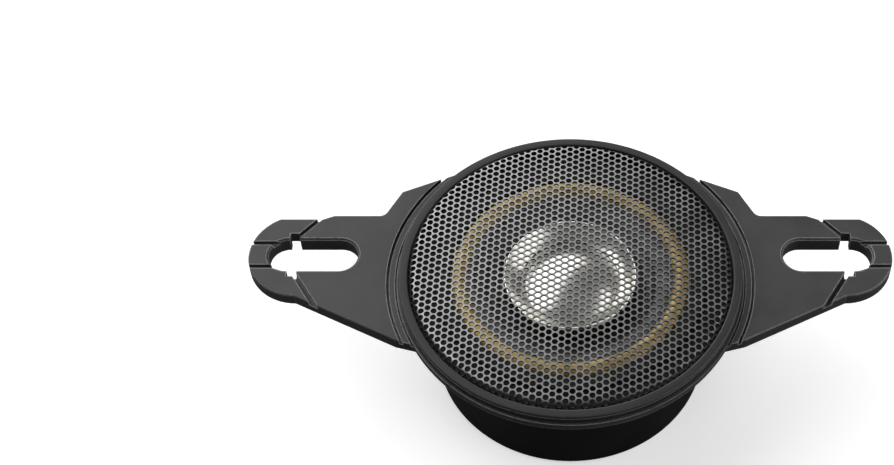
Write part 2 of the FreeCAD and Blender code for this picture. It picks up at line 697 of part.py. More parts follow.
def make_grille_mesh():
    """The grille as a plain domed sheet with its flange under the ring."""
    outer = rim_bore - fit_gap
    bend = mesh_shoulder
    shoulder = outer - bend
    shoulder_top = mesh_top - mesh_crown
    crown_radius = (shoulder * shoulder + mesh_crown * mesh_crown) / (mesh_crown * 2)
    inner_bend = bend - mesh_thickness
    flange = rim_bore + mesh_flange - fit_gap
    return turned("grille_mesh", [
        (0, mesh_top - mesh_thickness),
        (shoulder, shoulder_top - mesh_thickness, crown_radius, -1),
        (outer - mesh_thickness, shoulder_top - bend, inner_bend, -1),
        (outer - mesh_thickness, plate_top),
        (flange, plate_top),
        (flange, plate_top + mesh_thickness),
        (outer, plate_top + mesh_thickness),
        (outer, shoulder_top - bend),
        (shoulder, shoulder_top, bend, 1),
        (0, mesh_top, crown_radius, 1),
    ])


def make_surround():
    """Half-roll surround, glued on the cone's lip inside and on the deck outside."""
    half = roll_width / 2
    face = deck + paper
    outer_bend = (half * half + roll_rise * roll_rise) / (roll_rise * 2)
    inner_half = half - paper
    inner_bend = (inner_half * inner_half + roll_rise * roll_rise) / (roll_rise * 2)
    roll_outer = roll_inner + roll_width
    return turned("surround", [
        (roll_inner - surround_lip, deck),
        (roll_inner + paper, deck),
        (roll_outer - paper, deck, inner_bend, -1),
        (roll_outer + surround_flange, deck),
        (roll_outer + surround_flange, face),
        (roll_outer, face),
        (roll_inner, face, outer_bend, 1),
        (roll_inner - surround_lip, face),
    ])


def make_cone_gasket():
    """Ring pressed on the surround's flange and on the deck outside it."""
    inner = deck_bore + surround_flange - gasket_overlap
    edge = deck_bore + surround_flange + fit_gap
    top = deck + paper + gasket_height
    return turned("cone_gasket", [
        (inner, deck + paper),
        (edge, deck + paper),
        (edge, deck),
        (inner + gasket_width, deck),
        (inner + gasket_width, top),
        (inner, top),
    ])


def make_cone():
    """Paper cone from the former up to a flat lip under the surround."""
    lip_inner = roll_inner - surround_lip
    neck = deck - cone_depth
    return turned("cone", [
        (former_outer, neck - paper),
        (lip_inner + paper / 2, deck - paper),
        (roll_inner, deck - paper),
        (roll_inner, deck),
        (lip_inner, deck),
        (former_outer, neck),
    ])


def make_former():
    top = deck - cone_depth + paper
    foot = winding_foot() - former_foot
    return washer("voice_coil_former", former_inner, former_outer, foot, top)


def winding_foot():
    """The winding is centred on the top plate."""
    return top_plate_bottom + (top_plate_thickness - winding_height) / 2


def make_winding():
    return washer("voice_coil_winding", former_outer, winding_outer, winding_foot(),
                  winding_foot() + winding_height)


def make_spider():
    """Corrugated disc from the former out to its ledge in the basket."""
    outer = ledge_radius - fit_gap
    wave_end = outer - spider_ledge
    wave_start = former_outer + spider_ledge / 2
    step = (wave_end - wave_start) / (spider_waves * 2)
    upper = [(former_outer, spider_seat + spider_thickness)]
    lower = [(former_outer, spider_seat)]
    for index in range(spider_waves * 2 + 1):
        level = spider_seat if index % 2 == 0 else spider_seat - spider_wave
        radius = wave_start + step * index
        upper.append((radius, level + spider_thickness))
        lower.append((radius, level))
    upper.append((outer, spider_seat + spider_thickness))
    lower.append((outer, spider_seat))
    return turned("spider", lower + upper[::-1])


def make_yoke():
    """Steel plate and pole in one, bored for the tweeter's post and its nut."""
    body = new_body("yoke")
    bore = post_radius + fit_gap
    nut_face = yoke_back + nut_recess + nut_height
    revolve(body, "profile", [
        (nut_room, yoke_back),
        (yoke_radius, yoke_back),
        (yoke_radius, magnet_bottom),
        (pole_radius, magnet_bottom),
        (pole_radius, pole_top),
        (bore, pole_top),
        (bore, nut_face),
        (nut_room, nut_face),
    ])
    sketch = new_sketch(body, "screw_hole", "XY_Plane", yoke_back)
    draw_circle(sketch, cover_screw_circle, as_size(0), screw_shank + fit_gap)
    hole = body.newObject("PartDesign::Pocket", "yoke_screw_hole_run")
    hole.Profile = sketch
    hole.Length = screw_bite.number
    hole.setExpression("Length", (screw_bite + hole_spare).text)
    hole.Reversed = True
    ring_pattern(body, hole, cover_screw_count)
    return body


def make_top_plate():
    body = new_body("top_plate")
    revolve(body, "profile", box_outline(top_plate_bore, top_plate_bottom, yoke_radius, basket_seat))
    depth = screw_bite + hole_spare
    sketch = new_sketch(body, "screw_hole", "XY_Plane", basket_seat)
    draw_circle(sketch, frame_screw_circle, as_size(0), screw_shank + fit_gap)
    hole = body.newObject("PartDesign::Pocket", "top_plate_screw_hole_run")
    hole.Profile = sketch
    hole.Length = depth.number
    hole.setExpression("Length", depth.text)
    ring_pattern(body, hole, frame_screw_count)
    return body


def make_rear_cover():
    """Cup with a slight draft, screwed to the yoke and open at the connector bay."""
    body = new_body("rear_cover")
    floor_inner = cover_back_radius - cover_wall
    revolve(body, "shell", [
        (0, 0),
        (cover_back_radius - cover_round, 0),
        (cover_back_radius, cover_round, cover_round, 1),
        (cover_front_radius, flange_bottom),
        (cover_front_radius - cover_wall, flange_bottom),
        (floor_inner, cover_floor),
        (0, cover_floor),
    ])
    bay_top = bay_ceiling()
    extrude(body, "bay", as_size(-overrun), bay_top + overrun, lambda sketch: draw(sketch, box_outline(
        -bay_width / 2, magnet_radius + bay_inset, bay_width / 2, cover_front_radius + overrun)),
        "PartDesign::Pocket")
    drill(body, cover_screw_circle, as_size(0), cover_floor + overrun, -1, cover_screw_count)
    return body


def bay_ceiling():
    """The connector bay ends at the top of the terminal block's flange."""
    return basket_seat + block_lift + bay_lip / 2


def make_cover_screws():
    return make_screws("cover_screws", cover_screw_circle, as_size(0), yoke_back + screw_bite, -1,
                       cover_screw_count)


def make_frame_screws():
    return make_screws("frame_screws", frame_screw_circle, basket_floor_top,
                       basket_seat - screw_bite, 1, frame_screw_count)


def make_cover_pad():
    """Foam ring between cover and yoke, cut for the screws and for the tweeter's leads."""
    body = new_body("cover_pad")
    outer = yoke_radius - pad_margin
    revolve(body, "ring", box_outline(pad_bore, cover_floor, outer, yoke_back))
    sketch = new_sketch(body, "screw_hole", "XY_Plane", cover_floor)
    draw_circle(sketch, cover_screw_circle, as_size(0), screw_shank + lead_clear)
    hole = body.newObject("PartDesign::Pocket", "cover_pad_screw_hole_run")
    hole.Profile = sketch
    hole.Length = pad_thickness.number
    hole.setExpression("Length", pad_thickness.text)
    hole.Reversed = True
    ring_pattern(body, hole, cover_screw_count)
    half = lead_spacing / 2 + lead_radius + lead_clear
    extrude(body, "lead_slot", cover_floor, pad_thickness,
            lambda sketch: draw(sketch, box_outline(-half, pad_bore - overrun, half, outer + overrun)),
            "PartDesign::Pocket")
    return body


def make_mounting_gasket():
    return washer("mounting_gasket", cover_front_radius + gasket_clear, flange_radius - gasket_margin,
                  collar_bottom, flange_bottom)


def make_tweeter_post():
    """Hollow stud with a shoulder that carries the tweeter; a slot lets its leads in."""
    body = new_body("tweeter_post")
    foot = yoke_back + nut_recess
    revolve(body, "profile", [
        (post_bore, foot),
        (post_radius, foot),
        (post_radius, pole_top),
        (post_shoulder, pole_top),
        (post_shoulder, post_top),
        (post_bore, post_top),
    ])
    half = lead_spacing / 2 + lead_radius + lead_clear / 2
    floor = pole_top + (post_rise - lead_radius * 4) / 2
    extrude(body, "lead_slot", floor, post_rise, lambda sketch: draw(
        sketch, box_outline(-half, 0, half, post_shoulder + overrun)), "PartDesign::Pocket")
    return body


def make_post_nut():
    """Thin hexagon nut on the post's stud, in the yoke's recess."""
    body = new_body("post_nut")
    corner = nut_flats / math.sqrt(3)
    side = nut_flats / 2
    hexagon = [(corner, 0), (corner / 2, side), (-(corner / 2), side),
               (-corner, 0), (-(corner / 2), -side), (corner / 2, -side)]

    def outline(sketch):
        draw(sketch, hexagon)
        draw_circle(sketch, as_size(0), as_size(0), post_radius + fit_gap / 2)

    extrude(body, "hexagon", yoke_back + nut_recess, nut_height, outline)
    return body


def tweeter_plate_radius():
    return tweeter_coil_radius - tweeter_coil_gap


def tweeter_plate_bottom():
    return post_top + cup_floor + tweeter_magnet_height


def make_tweeter_cup():
    wall_inner = (tweeter_coil_radius + tweeter_former_wall + tweeter_winding + tweeter_coil_gap)
    return turned("tweeter_cup", [
        (post_bore, post_top),
        (cup_radius, post_top),
        (cup_radius, cup_top),
        (wall_inner, cup_top),
        (wall_inner, post_top + cup_floor),
        (post_bore, post_top + cup_floor),
    ])


def make_tweeter_magnet():
    return disc("tweeter_magnet", tweeter_plate_radius() - tweeter_magnet_step, post_top + cup_floor,
                tweeter_plate_bottom())


def make_tweeter_plate():
    bottom = tweeter_plate_bottom()
    return disc("tweeter_plate", tweeter_plate_radius(), bottom, bottom + tweeter_plate_height)


def tweeter_winding_foot():
    return tweeter_plate_bottom() + (tweeter_plate_height - tweeter_winding_height) / 2


def make_tweeter_winding():
    inner = tweeter_coil_radius + tweeter_former_wall
    foot = tweeter_winding_foot()
    return washer("tweeter_winding", inner, inner + tweeter_winding, foot, foot + tweeter_winding_height)


def dome_bend():
    return (dome_radius * dome_radius + dome_rise * dome_rise) / (dome_rise * 2)


def dome_inside(radius):
    """Level of the dome's inner face at a distance from the axis."""
    bend = dome_bend()
    return dome_seat + dome_rise - bend + (bend * bend - radius * radius).root()


def collar_radii():
    return (tweeter_coil_radius - tweeter_former_wall,
            tweeter_coil_radius + tweeter_former_wall * 2)


def former_top():
    return dome_inside(collar_radii()[1]) - dome_collar


def make_tweeter_former():
    foot = tweeter_winding_foot() - former_foot / 2
    return washer("tweeter_former", tweeter_coil_radius, tweeter_coil_radius + tweeter_former_wall,
                  foot, former_top())


def make_tweeter_dome():
    """Spherical dome with a small collar under it for the former."""
    body = new_body("tweeter_dome")
    bend = dome_bend()
    revolve(body, "cap", [
        (0, dome_seat + dome_rise),
        (dome_radius, dome_seat, bend, -1),
        (dome_radius, dome_base),
        (0, dome_base + dome_rise, bend, 1),
    ])
    inner, outer = collar_radii()
    revolve(body, "collar", [
        (inner, former_top()),
        (outer, former_top()),
        (outer, dome_inside(outer) + film / 2),
        (inner, dome_inside(inner) + film / 2),
    ])
    return body


def make_dome_edge():
    """Small half roll that carries the dome."""
    outer = dome_radius + edge_roll
    half = edge_roll / 2
    outer_bend = (half * half + edge_roll_rise * edge_roll_rise) / (edge_roll_rise * 2)
    inner_half = half - film
    inner_bend = (inner_half * inner_half + edge_roll_rise * edge_roll_rise) / (edge_roll_rise * 2)
    return turned("dome_edge", [
        (dome_radius, dome_seat),
        (dome_radius + film, dome_seat),
        (outer - film, dome_seat, inner_bend, -1),
        (outer + edge_flange, dome_seat),
        (outer + edge_flange, dome_base),
        (outer, dome_base),
        (dome_radius, dome_base, outer_bend, 1),
    ])


def make_tweeter_holder():
    """Ring pressed on the magnet cup that carries the dome's edge."""
    seat_inner = dome_radius + edge_roll
    return turned("tweeter_holder", [
        (cup_radius, dome_seat - holder_height),
        (holder_radius, dome_seat - holder_height),
        (holder_radius, dome_seat),
        (seat_inner, dome_seat),
        (seat_inner, cup_top),
        (cup_radius, cup_top),
    ])


def make_waveguide():
    """Flared ring round the dome."""
    throat = dome_radius + throat_overlap
    base_inner = dome_radius + edge_roll + film
    throat_level = dome_base + edge_roll_rise + throat_rise
    top = dome_base + waveguide_height
    lip_inner = waveguide_radius - waveguide_lip
    flare = (top - throat_level) * flare_share
    return turned("tweeter_waveguide", [
        (base_inner, dome_base),
        (holder_radius, dome_base),
        (waveguide_radius, top - waveguide_lip * 2),
        (waveguide_radius, top - waveguide_lip / 2),
        (waveguide_radius - waveguide_lip / 2, top, waveguide_lip / 2, 1),
        (lip_inner, top),
        (throat, throat_level, flare, 1),
        (throat, throat_level - waveguide_lip / 3),
        (base_inner, throat_level - throat_overlap / 2),
    ])


def block_front():
    """Outer face of the terminal block's body, just inside the cover."""
    return magnet_radius + bay_inset + lead_clear


def make_terminal_block():
    body = new_body("terminal_block")
    half = block_width / 2
    bottom = basket_seat + block_lift
    extrude(body, "body", bottom, block_height, lambda sketch: draw(sketch, box_outline(
        -half, block_front() - block_depth, half, block_front())))
    flange_half = bay_width / 2 - lead_clear / 2
    extrude(body, "flange", bay_ceiling() - bay_lip, bay_lip, lambda sketch: draw(sketch, box_outline(
        -flange_half, magnet_radius + bay_inset, flange_half, cover_front_radius - flange_inset)))
    return body


def make_tab(label, width, place):
    """Flat terminal tab with its hole, hanging down into the connector bay."""
    body = new_body(label)
    outer_face = magnet_radius + bay_inset + tab_inset + tab_thickness
    top = bay_ceiling() - bay_lip
    sketch = new_sketch(body, "blade", "XZ_Plane", -outer_face)
    tip = top - tab_length
    half = width / 2
    taper = tab_thickness
    draw(sketch, [
        (place - half, top),
        (place - half, tip + taper),
        (place - half + taper, tip),
        (place + half - taper, tip),
        (place + half, tip + taper),
        (place + half, top),
    ])
    draw_circle(sketch, place, tip + tab_length / 3, tab_hole)
    blade = body.newObject("PartDesign::Pad", f"{label}_blade")
    blade.Profile = sketch
    blade.Length = tab_thickness.number
    blade.setExpression("Length", tab_thickness.text)
    return body


def rounded_path(points, bend):
    """A wire of straight runs joined by tangent arcs of one radius."""
    edges = []
    start = points[0]
    for before, corner, after in zip(points, points[1:], points[2:]):
        inwards = (corner - before).normalize()
        outwards = (after - corner).normalize()
        turn = inwards.getAngle(outwards)
        trim = bend * math.tan(turn / 2)
        bend_start = corner - inwards * trim
        bend_end = corner + outwards * trim
        across = (outwards - inwards).normalize()
        middle = corner + across * (bend / math.cos(turn / 2) - bend)
        edges.append(Part.LineSegment(start, bend_start).toShape())
        edges.append(Part.Arc(bend_start, middle, bend_end).toShape())
        start = bend_end
    edges.append(Part.LineSegment(start, points[-1]).toShape())
    return Part.Wire(edges)


def tube(points, radius, bend):
    """Round wire along the path; its volume is compared with its section times its length."""
    path = rounded_path(points, bend)
    direction = points[1] - points[0]
    section = Part.Wire(Part.Circle(points[0], direction, radius).toShape())
    solid = path.makePipeShell([section], True, False)
    expected = math.pi * radius ** 2 * path.Length
    if abs(solid.Volume - expected) > expected * volume_tolerance:
        raise RuntimeError("a lead's sweep has the wrong volume")
    return solid


def make_tubes(label, routes, radius, bend):
    """Free-form wires, which no sketch-based feature fits; their sizes come from the sheet."""
    wires = [tube(points, radius.number, bend.number) for points in routes]
    feature = doc.addObject("Part::Feature", label)
    feature.Label = label
    feature.Shape = Part.makeCompound(wires)
    feature.Placement = FreeCAD.Placement()
    return feature


def make_tweeter_leads():
    """Two leads from the holder down beside the cup, through the post and round to the block."""
    beside_cup = (cup_radius + lead_radius + lead_clear).number
    under_cup = (post_top - lead_drop).number
    under_yoke = (cover_floor + pad_thickness / 2).number
    beside_magnet = (magnet_radius + lead_radius + lead_clear).number
    routes = []
    for side in (-1, 1):
        x = side * lead_spacing.number / 2
        routes.append([
            Vector(x, beside_cup, (dome_seat - holder_height).number),
            Vector(x, beside_cup, under_cup),
            Vector(x, 0, under_cup),
            Vector(x, 0, under_yoke),
            Vector(x, beside_magnet, under_yoke),
            Vector(x, beside_magnet, (bay_ceiling() - bay_lip).number),
        ])
    return make_tubes("tweeter_leads", routes, lead_radius, lead_bend)


def make_tinsel_leads():
    """Two braided leads from the block through a basket window to the underside of the cone."""
    level = (basket_floor_top + window_bottom + tinsel_rise).number
    reach = tinsel_reach.number
    x = tab_spacing.number / 2
    inside = math.hypot(x, reach) - tinsel_radius.number
    slope = (cone_depth / (roll_inner - surround_lip - former_outer)).number
    neck = (deck - cone_depth - paper).number
    under_cone = neck + (inside - former_outer.number) * slope - paper.number
    routes = []
    for side in (-1, 1):
        routes.append([
            Vector(side * x, (block_front() - block_depth).number, level),
            Vector(side * x, reach, level),
            Vector(side * x, reach, under_cone),
        ])
    return make_tubes("tinsel_leads", routes, tinsel_radius, tinsel_bend)


def capacitor_frame():
    """Middle of the capacitor and the direction along it, towards the terminal block."""
    reach = (basket_foot_radius + lead_clear * 3 + capacitor_radius).number
    level = (basket_seat + capacitor_radius + lead_clear / 4).number
    turn = math.radians(capacitor_angle.number)
    middle = Vector(reach * math.cos(turn), reach * math.sin(turn), level)
    return middle, Vector(math.sin(turn), -math.cos(turn), 0)


def make_capacitor():
    """Small film capacitor lying beside the basket; its can has a rolled groove."""
    body = turned("crossover_capacitor", [
        (0, 0),
        (capacitor_radius, 0),
        (capacitor_radius, capacitor_groove),
        (capacitor_radius - lead_radius, capacitor_groove + capacitor_groove / 2),
        (capacitor_radius, capacitor_groove * 2),
        (capacitor_radius, capacitor_length),
        (0, capacitor_length),
    ])
    middle, along = capacitor_frame()
    start = middle - along * (capacitor_length.number / 2)
    body.Placement = FreeCAD.Placement(start, FreeCAD.Rotation(Vector(0, 0, 1), along))
    return body


def make_capacitor_leads():
    """One lead straight to the block, the other back over the can."""
    middle, along = capacitor_frame()
    half = capacitor_length.number / 2
    block_side = -(block_width / 2 + capacitor_stop).number
    near_end = middle + along * half
    far_end = middle - along * half
    near_stop = near_end + along * ((block_side - near_end.x) / along.x)
    over = Vector(0, 0, (capacitor_radius + lead_radius * 2).number)
    turn_out = far_end - along * capacitor_turn.number
    run = near_stop - near_end
    straight = Part.makeCylinder(lead_radius.number, run.Length, near_end, run)
    bent = tube([far_end, turn_out, turn_out + over, near_stop + over], lead_radius.number, lead_bend.number)
    feature = doc.addObject("Part::Feature", "capacitor_leads")
    feature.Label = "capacitor_leads"
    feature.Shape = Part.makeCompound([straight, bent])
    feature.Placement = FreeCAD.Placement()
    return feature


pieces = [
    make_frame(),
    make_grille_ring(),
    make_grille_mesh(),
    make_surround(),
    make_cone_gasket(),
    make_cone(),
    make_former(),
    make_winding(),
    make_spider(),
    make_top_plate(),
    washer("magnet", magnet_bore, magnet_radius, magnet_bottom, top_plate_bottom),
    make_yoke(),
    make_frame_screws(),
    make_rear_cover(),
    make_cover_screws(),
    make_cover_pad(),
    make_mounting_gasket(),
    make_tweeter_post(),
    make_post_nut(),
    make_tweeter_cup(),
    make_tweeter_magnet(),
    make_tweeter_plate(),
    make_tweeter_winding(),
    make_tweeter_former(),
    make_tweeter_dome(),
    make_dome_edge(),
    make_tweeter_holder(),
    make_waveguide(),
    make_terminal_block(),
    make_tab("positive_tab", positive_width, -(tab_spacing / 2)),
    make_tab("negative_tab", negative_width, tab_spacing / 2),
    make_tweeter_leads(),
    make_tinsel_leads(),
    make_capacitor(),
    make_capacitor_leads(),
]

doc.recompute()
for item in doc.Objects:
    if "Invalid" in item.State or "Error" in item.State:
        raise RuntimeError(f"{item.Name} failed: {item.State}")
for piece in pieces:
    if piece.Shape.isNull() or not piece.Shape.isValid() or not piece.Shape.Solids:
        raise RuntimeError(f"{piece.Label} has no valid solid")

os.makedirs("parts", exist_ok=True)
for piece in pieces:
    piece.Shape.exportStep(f"parts/{piece.Label}.step")
    box = piece.Shape.BoundBox
    print(f"{piece.Label}: {len(piece.Shape.Solids)} solids, {piece.Shape.Volume:.2f} mm3, "
          f"z {box.ZMin:.2f} to {box.ZMax:.2f}, radius {box.XMax:.2f}")
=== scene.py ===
import bmesh
import bpy
import math
from mathutils import Matrix, Vector


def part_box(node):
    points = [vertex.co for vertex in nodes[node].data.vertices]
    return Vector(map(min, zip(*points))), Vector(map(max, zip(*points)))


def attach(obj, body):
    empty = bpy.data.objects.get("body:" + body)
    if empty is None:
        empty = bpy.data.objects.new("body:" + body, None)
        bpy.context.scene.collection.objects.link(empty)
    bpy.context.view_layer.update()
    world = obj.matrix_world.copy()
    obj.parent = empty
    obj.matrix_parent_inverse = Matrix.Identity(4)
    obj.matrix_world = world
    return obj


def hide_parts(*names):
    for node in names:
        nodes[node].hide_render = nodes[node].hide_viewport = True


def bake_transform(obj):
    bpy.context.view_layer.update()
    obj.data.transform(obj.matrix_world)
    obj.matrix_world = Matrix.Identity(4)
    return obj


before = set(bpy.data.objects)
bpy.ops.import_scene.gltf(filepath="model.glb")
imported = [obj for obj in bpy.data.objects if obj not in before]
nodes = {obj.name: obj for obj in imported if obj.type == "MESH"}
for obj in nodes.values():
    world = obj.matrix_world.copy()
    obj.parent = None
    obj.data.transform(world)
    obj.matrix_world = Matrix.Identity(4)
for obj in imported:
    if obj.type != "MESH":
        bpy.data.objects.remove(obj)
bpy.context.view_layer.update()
mm = 0.001
fullTurn = math.radians(360)


def grey(value):
    return (value, value, value)


# levels and radii come from the boxes of the CAD nodes

def lowOf(node):
    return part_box(node)[0].z


def topOf(node):
    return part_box(node)[1].z


def radiusOf(node):
    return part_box(node)[1].x


ringTop = topOf("grille_ring")
deckTop = topOf("cone")


# camera, floor and lights

view = {"elevation": 53.87, "distance": 0.3591, "lens": 67.24, "shiftX": -0.138, "shiftY": 0.0414,
        "sensor": 36, "nearest": 0.01}
studio = {
    "floorSize": 6.0, "floorTone": 0.80, "floorGlow": 0.5, "floorBounce": 0.10, "floorRough": 0.9,
    "worldTone": 1.0, "worldStrength": 0.17, "lampDistance": 1.0,
}
# a lamp has its direction from the object, its upright, its width and height, and its shift along the upright
lamps = {
    "key": {"toward": (-0.432, 0.717, 0.558), "up": (-0.50, -0.70, 0.51), "size": (1.08, 2.3), "shift": 0.35,
            "glow": 2.3},
    "low": {"toward": (-0.48, 0.86, 0.13), "up": (0, 0, 1), "size": (0.9, 0.26), "shift": 0.0, "glow": 2.3},
    "side": {"toward": (0.893, -0.188, 0.409), "up": (-0.425, -0.05, 0.904), "size": (1.25, 0.9), "shift": 0.0,
             "glow": 1.7},
}


def makeCamera():
    lift = math.radians(view["elevation"])
    camera = bpy.data.objects.new("camera", bpy.data.cameras.new("camera"))
    bpy.context.scene.collection.objects.link(camera)
    target = Vector((0, 0, ringTop))
    camera.location = target + view["distance"] * Vector((0, -math.cos(lift), math.sin(lift)))
    camera.rotation_euler = (math.radians(90) - lift, 0, 0)
    camera.data.sensor_width = view["sensor"]
    camera.data.lens = view["lens"]
    camera.data.shift_x = view["shiftX"]
    camera.data.shift_y = view["shiftY"]
    camera.data.clip_start = view["nearest"]
    bpy.context.scene.camera = camera


def makeSoftbox(name, lamp):
    softbox = bpy.data.objects.new(name, bpy.data.lights.new(name, "AREA"))
    bpy.context.scene.collection.objects.link(softbox)
    back = Vector(lamp["toward"]).normalized()
    across = Vector(lamp["up"]).cross(back).normalized()
    upright = back.cross(across)
    turned = Matrix((across, upright, back)).transposed()
    place = back * studio["lampDistance"] + upright * lamp["shift"]
    softbox.matrix_world = Matrix.Translation(place) @ turned.to_4x4()
    softbox.visible_camera = False
    softbox.data.shape = "RECTANGLE"
    width, height = lamp["size"]
    softbox.data.size, softbox.data.size_y = width, height
    softbox.data.energy = lamp["glow"] * math.pi * width * height  # glow is brightness, whatever the size


def makeStudio():
    world = bpy.data.worlds.new("studioAir")
    world.use_nodes = True
    air = world.node_tree.nodes["Background"]
    air.inputs["Color"].default_value = (*grey(studio["worldTone"]), 1)
    air.inputs["Strength"].default_value = studio["worldStrength"]
    bpy.context.scene.world = world
    bpy.context.scene.view_settings.view_transform = "Standard"
    for name, lamp in lamps.items():
        makeSoftbox(name + "Softbox", lamp)
    bm = bmesh.new()
    bmesh.ops.create_grid(bm, x_segments=1, y_segments=1, size=studio["floorSize"] / 2)
    mesh = bpy.data.meshes.new("floor")
    bm.to_mesh(mesh)
    bm.free()
    floor = bpy.data.objects.new("floor", mesh)
    bpy.context.scene.collection.objects.link(floor)
    paint = bpy.data.materials.new("paleFloor")
    paint.use_nodes = True
    tree = paint.node_tree
    shader = tree.nodes["Principled BSDF"]
    seen = tree.nodes.new("ShaderNodeLightPath").outputs["Is Camera Ray"]
    for label, low, high in (("Base Color", studio["floorBounce"], studio["floorTone"]),
                             ("Emission Strength", 0, studio["floorGlow"])):
        share = tree.nodes.new("ShaderNodeMapRange")  # pale to look at, but it hardly lights the dark sides
        share.inputs["To Min"].default_value = low
        share.inputs["To Max"].default_value = high
        tree.links.new(seen, share.inputs["Value"])
        tree.links.new(share.outputs[0], shader.inputs[label])
    shader.inputs["Roughness"].default_value = studio["floorRough"]
    shader.inputs["Emission Color"].default_value = (1, 1, 1, 1)
    mesh.materials.append(paint)


makeCamera()
makeStudio()
print("camera, floor and lights are up")


# node helpers for the finishes

def put(tree, kind, settings=None, feeds=None):
    node = tree.nodes.new(kind)
    for key, value in (settings or {}).items():
        setattr(node, key, value)
    for key, value in (feeds or {}).items():
        if isinstance(value, bpy.types.NodeSocket):
            tree.links.new(value, node.inputs[key])
        else:
            node.inputs[key].default_value = value
    return node


def sums(tree, operation, first, second=0.0):
    return put(tree, "ShaderNodeMath", {"operation": operation}, {0: first, 1: second}).outputs[0]


def eased(tree, value, low, high):
    return put(tree, "ShaderNodeMapRange", {"interpolation_type": "SMOOTHSTEP"},
               {"Value": value, "From Min": low, "From Max": high}).outputs[0]


# colour between two others, by a share from 0 to 1
def mixed(tree, share, first, second):
    return put(tree, "ShaderNodeMix", {"data_type": "RGBA"}, {0: share, 6: first, 7: second}).outputs[2]


def objectPlace(tree):
    return put(tree, "ShaderNodeTexCoord").outputs["Object"]


# the place on the piece, counted in steps of a size in millimetres
def scaledPlace(tree, size):
    steps = sums(tree, "DIVIDE", 1 / mm, size)
    return put(tree, "ShaderNodeVectorMath", {"operation": "SCALE"},
               {"Vector": objectPlace(tree), "Scale": steps}).outputs["Vector"]


def cloudOf(tree, given, detail=2.0):
    return noiseOf(tree, scaledPlace(tree, given["Cloud"]), detail)


def noiseOf(tree, place, detail=2.0, rough=0.5):
    return put(tree, "ShaderNodeTexNoise",
               feeds={"Vector": place, "Scale": 1.0, "Detail": detail, "Roughness": rough}).outputs[0]


def cellsOf(tree, place, feature="F1"):
    return put(tree, "ShaderNodeTexVoronoi", {"feature": feature},
               {"Vector": place, "Scale": 1.0}).outputs["Distance"]


def newGroup(name, given, made):
    group = bpy.data.node_groups.new(name, "ShaderNodeTree")
    for label, value in given.items():
        socket = group.interface.new_socket(label, in_out="INPUT", socket_type="NodeSocketFloat")
        socket.default_value = value
    for label in made:
        group.interface.new_socket(label, in_out="OUTPUT", socket_type="NodeSocketFloat")
    entry = group.nodes.new("NodeGroupInput").outputs
    ending = group.nodes.new("NodeGroupOutput").inputs
    return group, entry, ending


def radiusOnPiece(tree):
    parts = put(tree, "ShaderNodeSeparateXYZ", feeds={0: objectPlace(tree)}).outputs
    squared = sums(tree, "ADD", sums(tree, "MULTIPLY", parts[0], parts[0]),
                   sums(tree, "MULTIPLY", parts[1], parts[1]))
    return sums(tree, "SQRT", squared), parts[2]


# effects that several finishes share; sizes are in millimetres

grain = {"pebbles": -0.6, "detail": 3.0, "rough": 0.6, "cloudDetail": 3.0}
wearAndHighlight = {"samples": 4, "begins": 0.003, "full": 0.06, "detail": 2.0, "bare": 0.15, "wornAndLit": 0.5}
turning = {"slant": 0.7, "detail": 3.0, "rough": 0.7, "lines": 0.6, "cloud": 0.4}
paper = {"swirl": 0.6, "swirlDetail": 2.0, "strand": 0.16, "strands": 0.5, "detail": 4.0, "rough": 0.65}
foam = {"pore": 0.15, "wall": 0.6, "shade": 0.5}
winding = {"detail": 3.0}
cloth = {"lattice": 0.3, "detail": 3.0}


def buildMouldedGrain():
    group, given, made = newGroup("mouldedGrain", {"Grain": 0.3, "Cloud": 9.0}, ["Height", "Cloud"])
    place = scaledPlace(group, given["Grain"])
    pebbles = sums(group, "MULTIPLY", cellsOf(group, place), grain["pebbles"])
    bumps = noiseOf(group, place, grain["detail"], grain["rough"])
    group.links.new(sums(group, "ADD", bumps, pebbles), made["Height"])
    group.links.new(cloudOf(group, given, grain["cloudDetail"]), made["Cloud"])
    return group


# a lighter colour along rounded edges, in patches: partly wear, partly a painted highlight where the edges catch
# the light
def buildEdgeWearAndHighlight():
    group, given, made = newGroup("edgeWearAndHighlight", {"Width": 0.3, "Breakup": 1.2}, ["Edge"])
    reach = sums(group, "MULTIPLY", given["Width"], mm)
    rounded = put(group, "ShaderNodeBevel", {"samples": wearAndHighlight["samples"]}, {"Radius": reach}).outputs[0]
    plain = put(group, "ShaderNodeNewGeometry").outputs["Normal"]
    facing = put(group, "ShaderNodeVectorMath", {"operation": "DOT_PRODUCT"},
                 {0: rounded, 1: plain}).outputs["Value"]
    edge = eased(group, sums(group, "SUBTRACT", 1.0, facing), wearAndHighlight["begins"], wearAndHighlight["full"])
    breakup = noiseOf(group, scaledPlace(group, given["Breakup"]), wearAndHighlight["detail"])
    patches = eased(group, breakup, wearAndHighlight["bare"], wearAndHighlight["wornAndLit"])
    group.links.new(sums(group, "MULTIPLY", edge, patches), made["Edge"])
    return group


def buildTurningLines():
    group, given, made = newGroup("turningLines", {"Pitch": 0.12, "Cloud": 6.0}, ["Height", "Streak"])
    radius, level = radiusOnPiece(group)
    slanted = sums(group, "ADD", radius, sums(group, "MULTIPLY", level, turning["slant"]))
    along = sums(group, "DIVIDE", slanted, sums(group, "MULTIPLY", given["Pitch"], mm))
    lane = put(group, "ShaderNodeCombineXYZ", feeds={0: along, 1: 0.0, 2: 0.0}).outputs[0]
    lines = noiseOf(group, lane, turning["detail"], turning["rough"])
    cloud = cloudOf(group, given)
    group.links.new(lines, made["Height"])
    group.links.new(sums(group, "ADD", sums(group, "MULTIPLY", lines, turning["lines"]),
                         sums(group, "MULTIPLY", cloud, turning["cloud"])), made["Streak"])
    return group


